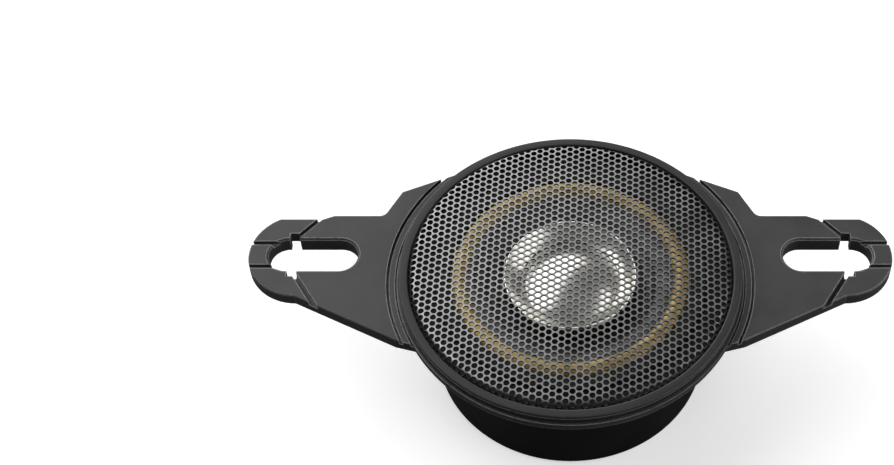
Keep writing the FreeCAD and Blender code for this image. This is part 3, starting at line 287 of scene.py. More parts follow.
def buildPaperFibre():
    group, given, made = newGroup("paperFibre", {"Fibre": 0.7, "Cloud": 5.0}, ["Height", "Fibre"])
    place = scaledPlace(group, given["Fibre"])
    swirl = put(group, "ShaderNodeTexNoise",
                feeds={"Vector": place, "Scale": paper["swirl"], "Detail": paper["swirlDetail"]}).outputs["Color"]
    bent = put(group, "ShaderNodeVectorMath", {"operation": "ADD"}, {0: place, 1: swirl}).outputs["Vector"]
    strands = eased(group, cellsOf(group, bent, "DISTANCE_TO_EDGE"), paper["strand"], 0.0)
    pulp = noiseOf(group, place, paper["detail"], paper["rough"])
    raised = sums(group, "MULTIPLY", strands, paper["strands"])
    group.links.new(sums(group, "ADD", raised, pulp), made["Height"])
    group.links.new(sums(group, "MULTIPLY", strands, cloudOf(group, given)), made["Fibre"])
    return group


def buildFoamCells():
    group, given, made = newGroup("foamCells", {"Cell": 0.35, "Cloud": 4.0}, ["Height", "Pore"])
    walls = cellsOf(group, scaledPlace(group, given["Cell"]))
    group.links.new(walls, made["Height"])
    cloud = sums(group, "ADD", foam["shade"], sums(group, "MULTIPLY", cloudOf(group, given), foam["shade"]))
    group.links.new(sums(group, "MULTIPLY", eased(group, walls, foam["pore"], foam["wall"]), cloud), made["Pore"])
    return group


def buildWindingTurns():
    group, given, made = newGroup("windingTurns", {"Pitch": 0.2, "Cloud": 3.0}, ["Height", "Tone"])
    level = radiusOnPiece(group)[1]
    counted = sums(group, "DIVIDE", level, sums(group, "MULTIPLY", given["Pitch"], mm))
    turns = sums(group, "SINE", sums(group, "MULTIPLY", counted, fullTurn))
    rounded = sums(group, "SQRT", sums(group, "ABSOLUTE", turns))
    group.links.new(rounded, made["Height"])
    group.links.new(sums(group, "MULTIPLY", rounded, cloudOf(group, given, winding["detail"])), made["Tone"])
    return group


def buildClothWeave():
    group, given, made = newGroup("clothWeave", {"Thread": 0.35, "Cloud": 4.0}, ["Height", "Thread"])
    parts = put(group, "ShaderNodeSeparateXYZ", feeds={0: scaledPlace(group, given["Thread"])}).outputs
    warp = sums(group, "SINE", sums(group, "MULTIPLY", parts[0], fullTurn))
    weft = sums(group, "SINE", sums(group, "MULTIPLY", sums(group, "ADD", parts[1], parts[2]), fullTurn))
    lattice = sums(group, "MULTIPLY", warp, weft)
    group.links.new(lattice, made["Height"])
    faint = sums(group, "MULTIPLY", lattice, cloth["lattice"])
    group.links.new(sums(group, "ADD", faint, cloudOf(group, given, cloth["detail"])), made["Thread"])
    return group


effects = {
    "mouldedGrain": buildMouldedGrain(), "edgeWearAndHighlight": buildEdgeWearAndHighlight(), "turningLines": buildTurningLines(),
    "paperFibre": buildPaperFibre(), "foamCells": buildFoamCells(), "windingTurns": buildWindingTurns(),
    "clothWeave": buildClothWeave(),
}


def placeEffect(tree, name, values):
    node = tree.nodes.new("ShaderNodeGroup")
    node.node_tree = effects[name]
    for label, value in values.items():
        node.inputs[label].default_value = value
    return node.outputs


usualSpread = (0.35, 0.65)


# an effect drives colour, gloss and relief; worn edges with a painted highlight may go over it, then a band of
# painted shade on one side of a radius
def makeFinish(name, look):
    finish = bpy.data.materials.new(name)
    finish.use_nodes = True
    tree = finish.node_tree
    shader = tree.nodes["Principled BSDF"]
    for label, value in look.get("fixed", {}).items():
        shader.inputs[label].default_value = value
    outputs = placeEffect(tree, look["effect"], look["values"])
    relief, mask = outputs[0], outputs[1]
    low, high = look.get("spread", usualSpread)
    colour = mixed(tree, eased(tree, mask, low, high), (*look["colour"], 1), (*look["tint"], 1))
    dull, shiny = look["rough"]
    gloss = put(tree, "ShaderNodeMapRange", feeds={"Value": mask, "From Min": low, "From Max": high,
                                                    "To Min": dull, "To Max": shiny}).outputs[0]
    if "wornAndLit" in look:
        # worn edges and painted highlight: the lighter edge colour goes over the base colour
        edge = placeEffect(tree, "edgeWearAndHighlight", {"Width": look["edge"]})[0]
        colour = mixed(tree, edge, colour, (*look["wornAndLit"], 1))
    # painted shade: past the band's radius the colour goes dark and the roughness takes the band's value
    if "shadeBand" in look:
        shadeBand = look["shadeBand"]
        inShadeBand = eased(tree, radiusOnPiece(tree)[0], shadeBand["from"] * mm, shadeBand["to"] * mm)
        colour = mixed(tree, inShadeBand, colour, (*shadeBand["colour"], 1))
        gloss = put(tree, "ShaderNodeMix", feeds={0: inShadeBand, 2: gloss, 3: shadeBand["rough"]}).outputs[0]
    tree.links.new(colour, shader.inputs["Base Color"])
    tree.links.new(gloss, shader.inputs["Roughness"])
    bump = put(tree, "ShaderNodeBump",
               feeds={"Height": relief, "Distance": look["relief"] * mm, "Strength": 1.0})
    tree.links.new(bump.outputs[0], shader.inputs["Normal"])
    return finish


# in each look the lighter edge colour is partly wear and partly a painted highlight
looks = {
    "moulded_plastic": {
        "effect": "mouldedGrain", "values": {"Grain": 0.3, "Cloud": 14.0}, "relief": 0.02,
        "colour": (0.036, 0.037, 0.038), "tint": (0.050, 0.050, 0.051), "rough": (0.46, 0.54),
        "wornAndLit": grey(0.40), "edge": 0.3, "fixed": {"Specular IOR Level": 0.35},
        # painted shade: the deck inside the grille ring is darkened, as if it lay in the grille's shadow
        "shadeBand": {"from": 35.3, "to": 35.1, "colour": grey(0.0015), "rough": 0.9},
    },
    "ring_plastic": {
        "effect": "turningLines", "values": {"Pitch": 0.3, "Cloud": 10.0}, "relief": 0.006,
        "colour": grey(0.016), "tint": grey(0.026), "rough": (0.40, 0.48), "wornAndLit": grey(0.26), "edge": 0.22,
        "fixed": {"Specular IOR Level": 0.3},
    },
    "mesh_paint": {
        "effect": "mouldedGrain", "values": {"Grain": 0.22, "Cloud": 5.0}, "relief": 0.006,
        "colour": grey(0.22), "tint": grey(0.28), "rough": (0.30, 0.38), "fixed": {"Metallic": 0.9},
        # painted shade: the sheet's shoulder and skirt beyond about 34 mm are darkened where they turn away from
        # the light
        "shadeBand": {"from": 33.7, "to": 34.5, "colour": grey(0.03), "rough": 0.5},
    },
    # painted shade: a dark copy of the mesh paint for the hole walls, the underside and the foot
    "mesh_shade": {
        "effect": "mouldedGrain", "values": {"Grain": 0.22, "Cloud": 5.0}, "relief": 0.006,
        "colour": grey(0.003), "tint": grey(0.007), "rough": (0.5, 0.6),
        "fixed": {"Specular IOR Level": 0.15},
    },
    "roll_gold": {
        "effect": "mouldedGrain", "values": {"Grain": 0.35, "Cloud": 6.0}, "relief": 0.012,
        "colour": (0.23, 0.155, 0.045), "tint": (0.33, 0.235, 0.070), "rough": (0.40, 0.48),
        "fixed": {"Metallic": 0.4},
    },
    "cone_paper": {
        "effect": "paperFibre", "values": {"Fibre": 0.6, "Cloud": 5.0}, "relief": 0.02, "spread": (0.0, 0.5),
        "colour": grey(0.020), "tint": grey(0.045), "rough": (0.42, 0.55),
    },
    "gasket_foam": {
        "effect": "foamCells", "values": {"Cell": 0.32, "Cloud": 5.0}, "relief": 0.08, "spread": (0.0, 0.8),
        "colour": grey(0.006), "tint": grey(0.020), "rough": (0.85, 0.95),
        "fixed": {"Specular IOR Level": 0.2},
    },
    "cover_plastic": {
        "effect": "mouldedGrain", "values": {"Grain": 0.4, "Cloud": 16.0}, "relief": 0.01,
        "colour": grey(0.006), "tint": grey(0.010), "rough": (0.34, 0.42), "wornAndLit": grey(0.10), "edge": 0.3,
        "fixed": {"Specular IOR Level": 0.25},
    },
    "plated_steel": {
        "effect": "turningLines", "values": {"Pitch": 0.15, "Cloud": 4.0}, "relief": 0.006,
        "colour": (0.50, 0.49, 0.46), "tint": (0.60, 0.59, 0.56), "rough": (0.28, 0.40),
        "fixed": {"Metallic": 1.0},
    },
    "screw_steel": {
        "effect": "mouldedGrain", "values": {"Grain": 0.15, "Cloud": 2.0}, "relief": 0.006,
        "colour": grey(0.06), "tint": grey(0.09), "rough": (0.30, 0.42), "wornAndLit": grey(0.35), "edge": 0.15,
        "fixed": {"Metallic": 0.9},
    },
    "ferrite": {
        "effect": "mouldedGrain", "values": {"Grain": 0.25, "Cloud": 5.0}, "relief": 0.02,
        "colour": grey(0.035), "tint": grey(0.055), "rough": (0.6, 0.75), "wornAndLit": grey(0.12), "edge": 0.3,
    },
    "kapton": {
        "effect": "turningLines", "values": {"Pitch": 0.4, "Cloud": 3.0}, "relief": 0.003,
        "colour": (0.020, 0.013, 0.008), "tint": (0.035, 0.022, 0.012), "rough": (0.3, 0.4),
        "fixed": {"Coat Weight": 0.2},
    },
    "copper_wire": {
        "effect": "windingTurns", "values": {"Pitch": 0.4, "Cloud": 2.5}, "relief": 0.06, "spread": (0.0, 0.6),
        "colour": (0.28, 0.08, 0.03), "tint": (0.72, 0.28, 0.12), "rough": (0.22, 0.36),
        "fixed": {"Metallic": 1.0},
    },
    "spider_cloth": {
        "effect": "clothWeave", "values": {"Thread": 0.4, "Cloud": 4.0}, "relief": 0.04,
        "colour": (0.30, 0.17, 0.06), "tint": (0.42, 0.26, 0.10), "rough": (0.75, 0.9),
        "fixed": {"Sheen Weight": 0.2},
    },
    "neodymium": {
        "effect": "turningLines", "values": {"Pitch": 0.12, "Cloud": 3.0}, "relief": 0.003,
        "colour": grey(0.55), "tint": grey(0.66), "rough": (0.16, 0.26), "fixed": {"Metallic": 1.0},
    },
    "dome_metal": {
        "effect": "turningLines", "values": {"Pitch": 0.35, "Cloud": 4.0}, "relief": 0.0015,
        "colour": (0.62, 0.61, 0.57), "tint": (0.70, 0.69, 0.64), "rough": (0.22, 0.27),
        "fixed": {"Metallic": 1.0},
    },
    "waveguide_metal": {
        "effect": "turningLines", "values": {"Pitch": 0.18, "Cloud": 4.0}, "relief": 0.002,
        "colour": (0.54, 0.53, 0.49), "tint": (0.64, 0.63, 0.58), "rough": (0.20, 0.27),
        "fixed": {"Metallic": 1.0},
    },
    "edge_film": {
        "effect": "mouldedGrain", "values": {"Grain": 0.2, "Cloud": 2.0}, "relief": 0.004,
        "colour": (0.34, 0.335, 0.31), "tint": (0.42, 0.415, 0.39), "rough": (0.28, 0.36),
        "fixed": {"Metallic": 0.9},
    },
    "block_plastic": {
        "effect": "mouldedGrain", "values": {"Grain": 0.3, "Cloud": 6.0}, "relief": 0.015,
        "colour": grey(0.014), "tint": grey(0.022), "rough": (0.42, 0.52), "wornAndLit": grey(0.08), "edge": 0.2,
    },
    "tab_brass": {
        "effect": "mouldedGrain", "values": {"Grain": 0.3, "Cloud": 2.5}, "relief": 0.004,
        "colour": (0.60, 0.56, 0.45), "tint": (0.72, 0.68, 0.56), "rough": (0.24, 0.34),
        "fixed": {"Metallic": 1.0},
    },
    "lead_sleeve": {
        "effect": "mouldedGrain", "values": {"Grain": 0.2, "Cloud": 3.0}, "relief": 0.004,
        "colour": (0.25, 0.02, 0.015), "tint": (0.32, 0.03, 0.02), "rough": (0.35, 0.45),
    },
    "tinsel_braid": {
        "effect": "clothWeave", "values": {"Thread": 0.3, "Cloud": 2.0}, "relief": 0.04,
        "colour": (0.45, 0.26, 0.14), "tint": (0.70, 0.48, 0.30), "rough": (0.35, 0.5),
        "fixed": {"Metallic": 0.9},
    },
    "capacitor_film": {
        "effect": "mouldedGrain", "values": {"Grain": 0.4, "Cloud": 4.0}, "relief": 0.004,
        "colour": (0.02, 0.035, 0.10), "tint": (0.03, 0.05, 0.14), "rough": (0.25, 0.35),
        "fixed": {"Coat Weight": 0.3},
    },
}
finishes = {slot: makeFinish(slot + "_finish", look) for slot, look in looks.items()}
for node in nodes.values():
    slot = node.data.materials[0].name
    node.data.materials[0] = finishes[slot]
print("finishes are on the CAD nodes:", len(finishes))


# helpers for the turned pieces

weldGap = 0.002 * mm
sliverGap = 0.001 * mm


# draws a closed outline: a move is a point (r, z), or (r, z, angle, steps) for an arc round a centre
def traceProfile(bm, start, moves):
    first = bm.verts.new((start[0], 0, start[1]))
    last = first
    for move in moves:
        if len(move) == 2:
            fresh = bm.verts.new((move[0], 0, move[1]))
            bm.edges.new((last, fresh))
        else:
            swept = bmesh.ops.spin(bm, geom=[last], cent=(move[0], 0, move[1]), axis=(0, 1, 0),
                                   dvec=(0, 0, 0), angle=math.radians(move[2]), steps=move[3],
                                   use_merge=False, use_duplicate=False)
            fresh = [item for item in swept["geom_last"] if isinstance(item, bmesh.types.BMVert)][0]
        last = fresh
    bm.edges.new((last, first))


# spins the outline once round the axis, welds it and points its faces outwards
def turnRound(bm, segments):
    bmesh.ops.spin(bm, geom=bm.verts[:] + bm.edges[:], cent=(0, 0, 0), axis=(0, 0, 1), dvec=(0, 0, 0),
                   angle=fullTurn, steps=segments, use_merge=True, use_duplicate=False)
    weld(bm)


def weld(bm):
    bmesh.ops.remove_doubles(bm, verts=bm.verts, dist=weldGap)
    bmesh.ops.dissolve_degenerate(bm, edges=bm.edges, dist=sliverGap)
    bmesh.ops.recalc_face_normals(bm, faces=bm.faces)


# turns the bmesh into an object with smooth faces, hard edges and its finish
def makePiece(bm, name, slot, sharpAngle=35):
    for face in bm.faces:
        face.smooth = True
    for edge in bm.edges:
        edge.smooth = edge.is_manifold and edge.calc_face_angle(0) < math.radians(sharpAngle)
    mesh = bpy.data.meshes.new(name)
    bm.to_mesh(mesh)
    bm.free()
    mesh.materials.append(finishes[slot])
    piece = bpy.data.objects.new(name, mesh)
    bpy.context.scene.collection.objects.link(piece)
    return piece


# bakes the ring's placement into its mesh; each point's share between the outer and inner radius is worked out
# but not used
def blendRing(piece, outerRadius, innerRadius):
    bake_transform(piece)
    for vert in piece.data.vertices:
        share = (outerRadius - vert.co.xy.length) / (outerRadius - innerRadius)
        share = min(1, max(0, share))


# the grille: a flat punched sheet, wrapped over its crown, shoulder and skirt

sheet = {
    "pitch": 1.571 * mm, "wire": 0.25 * mm, "turn": -2.0, "shift": (0.15 * mm, -0.66 * mm), "holeSides": 12,
    "thickness": 0.45 * mm, "crown": 0.6 * mm, "bend": 1.9 * mm, "skirtRadius": 35.05 * mm,
    "skirtBelow": 0.55 * mm, "bendShare": 0.86, "spareRows": 2, "spareLines": 4, "weld": 0.01 * mm,
    "footSegments": 144, "sharp": 80,
}


# radius and level on the drawn sheet for a distance from the middle of the flat one
def drawnPlace(flat, top):
    shoulder = sheet["skirtRadius"] - sheet["bend"]
    crownRadius = (shoulder ** 2 + sheet["crown"] ** 2) / (2 * sheet["crown"])
    slope = math.asin(shoulder / crownRadius)
    bendStart = crownRadius * slope
    bendLength = sheet["bend"] * (math.radians(90) - slope)
    if flat <= bendStart:
        angle = flat / crownRadius
        return crownRadius * math.sin(angle), top - crownRadius * (1 - math.cos(angle))
    bendMiddleR = shoulder - sheet["bend"] * math.sin(slope)
    bendMiddleZ = top - sheet["crown"] - sheet["bend"] * math.cos(slope)
    if flat <= bendStart + bendLength:
        angle = slope + (flat - bendStart) / sheet["bend"]
        return bendMiddleR + sheet["bend"] * math.sin(angle), bendMiddleZ + sheet["bend"] * math.cos(angle)
    return bendMiddleR + sheet["bend"], bendMiddleZ - (flat - bendStart - bendLength)


def copyShifted(bm, cell, shift):
    made = bmesh.ops.duplicate(bm, geom=cell)["geom"]
    verts = [item for item in made if isinstance(item, bmesh.types.BMVert)]
    bmesh.ops.translate(bm, verts=verts, vec=shift)


# the flat sheet: a ring of faces round each hole, in lines that are half a step apart
def punchSheet():
    bm = bmesh.new()
    sides = sheet["holeSides"]
    holeRadius = (sheet["pitch"] - sheet["wire"]) / 2
    bmesh.ops.create_circle(bm, cap_ends=False, segments=sides, radius=holeRadius)
    grown = bmesh.ops.extrude_edge_only(bm, edges=bm.edges[:])
    rim = [item for item in grown["geom"] if isinstance(item, bmesh.types.BMVert)]
    for vert in rim:  # every second point is a corner of the six-sided cell, the others lie on its sides
        angle = math.degrees(math.atan2(vert.co.y, vert.co.x))
        corner = round(angle / (360 / sides)) % 2 == 0
        vert.co *= (sheet["pitch"] / (math.sqrt(3) if corner else 2)) / holeRadius
    flatLimit = sheet["skirtRadius"] + sheet["bend"] * sheet["bendShare"]
    rows = int(flatLimit / sheet["pitch"]) + sheet["spareRows"]
    cell = bm.verts[:] + bm.edges[:] + bm.faces[:]
    for row in range(-rows, rows + 1):
        if row:
            copyShifted(bm, cell, (0, row * sheet["pitch"], 0))
    column = bm.verts[:] + bm.edges[:] + bm.faces[:]
    step = sheet["pitch"] * math.sqrt(3) / 2
    lines = rows + sheet["spareLines"]
    for line in range(-lines, lines + 1):
        if line:
            copyShifted(bm, column, (line * step, (line % 2) * sheet["pitch"] / 2, 0))
    turn = Matrix.Rotation(math.radians(sheet["turn"]), 3, "Z")
    bmesh.ops.rotate(bm, verts=bm.verts, cent=(0, 0, 0), matrix=turn)
    bmesh.ops.translate(bm, verts=bm.verts, vec=(*sheet["shift"], 0))
    beyond = [face for face in bm.faces if face.calc_center_median().length > flatLimit]
    bmesh.ops.delete(bm, geom=beyond, context="FACES")
    bmesh.ops.remove_doubles(bm, verts=bm.verts, dist=sheet["weld"])
    return bm


def makeGrilleSheet():
    bm = punchSheet()
    top = topOf("grille_mesh")
    for vert in bm.verts:
        flat = vert.co.length
        radius, level = drawnPlace(flat, top)
        around = vert.co / flat if flat else Vector((0, 0, 0))
        vert.co = Vector((around.x * radius, around.y * radius, level))
    bmesh.ops.recalc_face_normals(bm, faces=bm.faces)
    middle = min(bm.faces, key=lambda face: face.calc_center_median().xy.length)
    if middle.normal.z < 0:
        bmesh.ops.reverse_faces(bm, faces=bm.faces)
    piece = makePiece(bm, "grilleSheet", "mesh_paint", sheet["sharp"])
    wall = piece.modifiers.new("sheetWall", "SOLIDIFY")
    wall.thickness = sheet["thickness"]
    wall.offset = -1
    piece.data.materials.append(finishes["mesh_shade"])  # painted shade: the holes' walls and the underside get a dark copy of the paint
    wall.material_offset = 1
    wall.material_offset_rim = 1
    piece.visible_shadow = False  # the studio light reaches the cone and the tweeter through the sheet
    piece.visible_glossy = False
    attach(piece, "chassis")
    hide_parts("grille_mesh")


def makeGrilleFoot():
    inner, outer = sheet["skirtRadius"] - sheet["thickness"], sheet["skirtRadius"]
    low, ledge = lowOf("grille_mesh"), radiusOf("grille_mesh")
    face = low + sheet["thickness"]
    bm = bmesh.new()
    traceProfile(bm, (inner, low), [(ledge, low), (ledge, face), (outer, face),
                                    (outer, face + sheet["skirtBelow"]), (inner, face + sheet["skirtBelow"])])
    turnRound(bm, sheet["footSegments"])
    foot = makePiece(bm, "grilleFoot", "mesh_paint")
    # painted shade: the foot under the ring gets the dark copy of the paint
    foot.data.materials[0] = finishes["mesh_shade"]
    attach(foot, "chassis")


makeGrilleSheet()
makeGrilleFoot()
print("grille is punched and drawn")


# surround, cone and gasket

roll = {"inner": 22.2 * mm, "outer": 25.8 * mm, "rise": 1.35 * mm, "wall": 0.35 * mm, "lip": 1.2 * mm,
        "flange": 1.8 * mm, "arcSteps": 20, "segments": 160, "sharp": 50}


# the centre's level from the lips, and half the angle in degrees, of an arc from inner to outer
def halfRoll(inner, outer, rise):
    half = (outer - inner) / 2
    radius = (half ** 2 + rise ** 2) / (2 * rise)
    return rise - radius, math.degrees(math.asin(half / radius))


def makeSurround():
    low = deckTop
    face = low + roll["wall"]
    middle = (roll["inner"] + roll["outer"]) / 2
    outerDrop, outerHalf = halfRoll(roll["inner"], roll["outer"], roll["rise"])
    innerDrop, innerHalf = halfRoll(roll["inner"] + roll["wall"], roll["outer"] - roll["wall"], roll["rise"])
    bm = bmesh.new()
    traceProfile(bm, (roll["inner"] - roll["lip"], low), [
        (roll["inner"] + roll["wall"], low),
        (middle, low + innerDrop, 2 * innerHalf, roll["arcSteps"]),
        (roll["outer"] + roll["flange"], low),
        (roll["outer"] + roll["flange"], face),
        (roll["outer"], face),
        (middle, face + outerDrop, -2 * outerHalf, roll["arcSteps"]),
        (roll["inner"] - roll["lip"], face),
    ])
    turnRound(bm, roll["segments"])
    piece = makePiece(bm, "surroundRoll", "roll_gold", roll["sharp"])
    piece.data.materials.append(finishes["cone_paper"])  # the glued inner lip is black, the roll is gold
    for face in piece.data.polygons:
        reach = face.center.xy.length
        face.material_index = 0 if reach > roll["inner"] else 1
    blendRing(piece, roll["outer"], roll["inner"])
    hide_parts("surround")


makeSurround()


cone = {
    "lipInner": 21.0 * mm, "lipOuter": 22.2 * mm, "neck": 12.55 * mm, "wall": 0.35 * mm,
    "ribs": (14.6, 16.6, 18.6), "ribWidth": 0.5 * mm, "ribHeight": 0.12 * mm,
    "ribShape": ((0.5, 0), (0.2, 1), (-0.2, 1), (-0.5, 0)), "segments": 144, "sharp": 50,
}


def makeCone():
    top = deckTop
    neckTop = lowOf("cone") + cone["wall"]
    slope = (top - neckTop) / (cone["lipInner"] - cone["neck"])

    def onFace(radius):
        return neckTop + (radius - cone["neck"]) * slope

    run = [(cone["lipInner"] + cone["wall"] / 2, top - cone["wall"]), (cone["lipOuter"], top - cone["wall"]),
           (cone["lipOuter"], top), (cone["lipInner"], top)]
    for rib in sorted(cone["ribs"], reverse=True):
        for side, height in cone["ribShape"]:
            radius = rib * mm + side * cone["ribWidth"]
            run.append((radius, onFace(radius) + height * cone["ribHeight"]))
    run.append((cone["neck"], neckTop))
    bm = bmesh.new()
    traceProfile(bm, (cone["neck"], neckTop - cone["wall"]), run)
    turnRound(bm, cone["segments"])
    piece = makePiece(bm, "paperCone", "cone_paper", cone["sharp"])
    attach(piece, "cone_assembly")
    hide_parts("cone")


makeCone()


foamRings = {
    "coneFoam": {"node": "cone_gasket", "inner": 26.0 * mm, "stepRadius": 27.65 * mm, "round": 0.25 * mm},
    "mountingFoam": {"node": "mounting_gasket", "inner": 33.5 * mm, "stepRadius": None, "round": 0.3 * mm},
}


foamTurn = {"arcSteps": 4, "segments": 144, "sharp": 50}


def makeFoamRing(name, ring):
    node = ring["node"]
    low, top, outer, inner, curve = lowOf(node), topOf(node), radiusOf(node), ring["inner"], ring["round"]
    bm = bmesh.new()
    if ring["stepRadius"]:
        start = (inner, low + roll["wall"])
        run = [(ring["stepRadius"], low + roll["wall"]), (ring["stepRadius"], low)]
    else:
        start = (inner, low)
        run = []
    steps = foamTurn["arcSteps"]
    run += [(outer, low), (outer, top - curve), (outer - curve, top - curve, -90, steps),
            (inner + curve, top), (inner + curve, top - curve, -90, steps)]
    traceProfile(bm, start, run)
    turnRound(bm, foamTurn["segments"])
    piece = makePiece(bm, name, "gasket_foam", foamTurn["sharp"])
    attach(piece, "chassis")
    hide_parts(node)


for name, ring in foamRings.items():
    makeFoamRing(name, ring)
print("surround, cone and foam are in")


# the tweeter: dome, its edge roll and the horn round them

tweeter = {
    "domeRadius": 10.3 * mm, "domeRise": 3.35 * mm, "domeWall": 0.15 * mm, "domeSteps": 28,
    "collarInner": 8.35 * mm, "collarOuter": 8.65 * mm, "collarDrop": 0.35 * mm,
    "edgeInner": 10.3 * mm, "edgeOuter": 11.3 * mm, "edgeRise": 0.4 * mm, "edgeFlange": 1.2 * mm,
    "throat": 10.9 * mm, "throatLevel": 0.85 * mm, "lip": 0.5 * mm, "flareBend": 11.0 * mm, "flareSteps": 14,
    "hornFoot": 11.45 * mm, "footDrop": 0.3 * mm, "holderRadius": 12.9 * mm, "lipRound": 0.2 * mm,
    "lipSteps": 5, "lipTurn": 40, "lipTurnSteps": 3, "collarSteps": 4, "edgeSteps": 10, "segments": 128,
    "sharp": 40, "edgeSharp": 50,
}


# the move that swings from begin to end on an arc of that radius; side 1 bulges left of the way there
def arcMove(begin, end, radius, side, steps):
    (r1, z1), (r2, z2) = begin, end
    dr, dz = r2 - r1, z2 - z1
    span = math.hypot(dr, dz)
    depth = math.sqrt(max(0.0, radius ** 2 - (span / 2) ** 2))
    middle = ((r1 + r2) / 2 + side * depth * dz / span, (z1 + z2) / 2 - side * depth * dr / span)
    turn = 2 * math.degrees(math.asin(min(1.0, span / 2 / radius)))
    return (middle[0], middle[1], side * turn, steps)


def makeDome():
    base, wall = lowOf("dome_edge"), tweeter["domeWall"]
    bend = (tweeter["domeRadius"] ** 2 + tweeter["domeRise"] ** 2) / (2 * tweeter["domeRise"])
    rim, rise = tweeter["domeRadius"], tweeter["domeRise"]

    def under(radius):
        return base + rise - bend + math.sqrt(bend ** 2 - radius ** 2)

    cOut, cIn = tweeter["collarOuter"], tweeter["collarInner"]
    foot = under(cOut) - tweeter["collarDrop"]
    start = (0, base + rise)
    bm = bmesh.new()
    traceProfile(bm, start, [
        arcMove(start, (cIn, under(cIn)), bend, 1, tweeter["domeSteps"]),
        (cIn, foot), (cOut, foot), (cOut, under(cOut)),
        arcMove((cOut, under(cOut)), (rim, base), bend, 1, tweeter["collarSteps"]),
        (rim, base + wall),
        arcMove((rim, base + wall), (0, base + wall + rise), bend, -1, tweeter["domeSteps"]),
    ])
    turnRound(bm, tweeter["segments"])
    piece = makePiece(bm, "domeCap", "dome_metal", tweeter["sharp"])
    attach(piece, "tweeter_diaphragm")
    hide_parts("tweeter_dome")


def makeDomeEdge():
    base, wall = lowOf("dome_edge"), tweeter["domeWall"]
    inner, outer, rise = tweeter["edgeInner"], tweeter["edgeOuter"], tweeter["edgeRise"]
    half = (outer - inner) / 2
    topBend = (half ** 2 + rise ** 2) / (2 * rise)
    lowHalf = half - wall
    lowBend = (lowHalf ** 2 + rise ** 2) / (2 * rise)
    bm = bmesh.new()
    traceProfile(bm, (inner, base), [
        (inner + wall, base),
        arcMove((inner + wall, base), (outer - wall, base), lowBend, 1, tweeter["edgeSteps"]),
        (outer + tweeter["edgeFlange"], base), (outer + tweeter["edgeFlange"], base + wall),
        (outer, base + wall),
        arcMove((outer, base + wall), (inner, base + wall), topBend, -1, tweeter["edgeSteps"]),
    ])
    turnRound(bm, tweeter["segments"])
    piece = makePiece(bm, "domeEdgeRoll", "edge_film", tweeter["edgeSharp"])
    blendRing(piece, outer, inner)
    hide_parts("dome_edge")


def makeHorn():
    base = lowOf("dome_edge") + tweeter["domeWall"]
    top, outer, lip = topOf("tweeter_waveguide"), radiusOf("tweeter_waveguide"), tweeter["lip"]
    throat, level = tweeter["throat"], base + tweeter["throatLevel"]
    curve, turn = tweeter["lipRound"], math.radians(tweeter["lipTurn"])
    flareStart = (outer - lip + curve - curve * math.sin(turn), top - curve + curve * math.cos(turn))
    bm = bmesh.new()
    traceProfile(bm, (tweeter["hornFoot"], base), [
        (tweeter["holderRadius"], base), (outer, top - 2 * lip), (outer, top - curve),
        (outer - curve, top - curve, -90, tweeter["lipSteps"]), (outer - lip + curve, top),
        (outer - lip + curve, top - curve, -tweeter["lipTurn"], tweeter["lipTurnSteps"]),
        arcMove(flareStart, (throat, level), tweeter["flareBend"], 1, tweeter["flareSteps"]),
        (throat, level - lip / 3), (tweeter["hornFoot"], level - tweeter["footDrop"]),
    ])
    turnRound(bm, tweeter["segments"])
    piece = makePiece(bm, "tweeterHorn", "waveguide_metal", tweeter["sharp"])
    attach(piece, "chassis")
    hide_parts("tweeter_waveguide")


makeDome()
makeDomeEdge()
makeHorn()
print("tweeter is in")


# spider, leads and foam pad behind the cone

spider = {"inner": 12.55 * mm, "waveStart": 13.3 * mm, "waveEnd": 19.95 * mm, "outer": 21.45 * mm, "waves": 5,
          "wave": 0.6 * mm, "wall": 0.3 * mm, "seat": 20.3 * mm, "stepsPerWave": 8, "segments": 120,
          "sharp": 50}


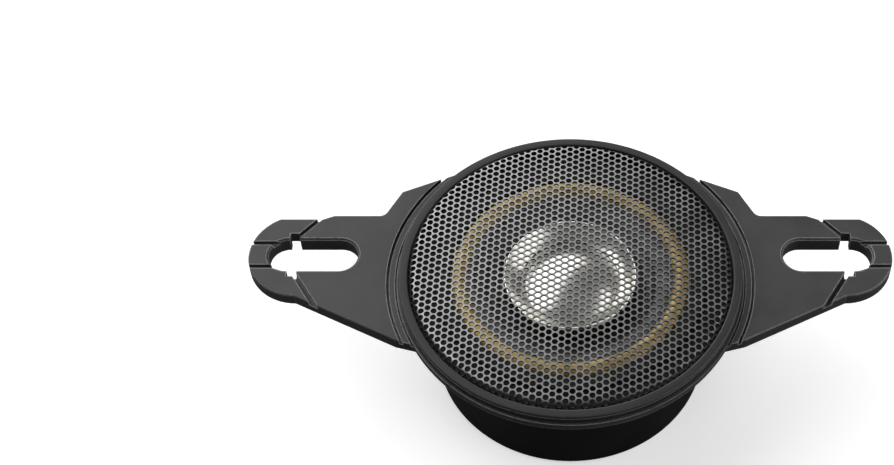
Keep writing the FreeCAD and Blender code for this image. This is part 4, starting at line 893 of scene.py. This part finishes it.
# waved cloth disc; its waves are drawn as soft curves between the former and the ledge
def makeSpider():
    steps = spider["waves"] * spider["stepsPerWave"]
    line = [(spider["inner"], 0.0)]
    for index in range(steps + 1):
        part = index / steps
        dip = -spider["wave"] * (1 - math.cos(fullTurn * spider["waves"] * part)) / 2
        line.append((spider["waveStart"] + (spider["waveEnd"] - spider["waveStart"]) * part, dip))
    line.append((spider["outer"], 0.0))
    low = [(radius, spider["seat"] + dip) for radius, dip in line]
    high = [(radius, level + spider["wall"]) for radius, level in reversed(low)]
    bm = bmesh.new()
    traceProfile(bm, low[0], low[1:] + high)
    turnRound(bm, spider["segments"])
    piece = makePiece(bm, "spiderCloth", "spider_cloth", spider["sharp"])
    blendRing(piece, spider["waveEnd"], spider["waveStart"])
    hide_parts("spider")


# a welded copy of a CAD node's mesh, for the soft pieces that keep that shape
def copyOf(node, name, slot, sharpAngle=40):
    bm = bmesh.new()
    bm.from_mesh(nodes[node].data)
    weld(bm)
    piece = makePiece(bm, name, slot, sharpAngle)
    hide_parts(node)
    return piece


makeSpider()
leads = copyOf("tinsel_leads", "tinselBraid", "tinsel_braid")
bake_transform(leads)
pad = copyOf("cover_pad", "coverFoam", "gasket_foam")
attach(pad, "chassis")
print("spider, leads and pad are in")


# the ring that holds the grille

ring = {
    "bore": 35.1 * mm, "ledge": 36.45 * mm, "ledgeRise": 0.45 * mm, "round": 0.3 * mm, "roundSteps": 8,
    "lineDepth": 0.1 * mm, "lineWidth": 0.18 * mm, "lineDrop": 0.35 * mm, "lineFrom": 0.7, "lineTo": 0.3,
    "segments": 240, "sharp": 30,
}


def makeRing():
    low, outer = lowOf("grille_ring"), radiusOf("grille_ring")
    curve = ring["round"]
    lineTop = ringTop - curve - ring["lineDrop"]
    bm = bmesh.new()
    traceProfile(bm, (ring["bore"], low + ring["ledgeRise"]), [
        (ring["ledge"], low + ring["ledgeRise"]), (ring["ledge"], low), (outer, low),
        (outer, lineTop - ring["lineWidth"]),
        (outer - ring["lineDepth"], lineTop - ring["lineWidth"] * ring["lineFrom"]),
        (outer - ring["lineDepth"], lineTop - ring["lineWidth"] * ring["lineTo"]), (outer, lineTop),
        (outer, ringTop - curve), (outer - curve, ringTop - curve, -90, ring["roundSteps"]),
        (ring["bore"] + curve, ringTop), (ring["bore"] + curve, ringTop - curve, -90, ring["roundSteps"]),
    ])
    turnRound(bm, ring["segments"])
    piece = makePiece(bm, "grilleRim", "ring_plastic", ring["sharp"])
    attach(piece, "chassis")
    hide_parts("grille_ring")


makeRing()
print("ring is on")
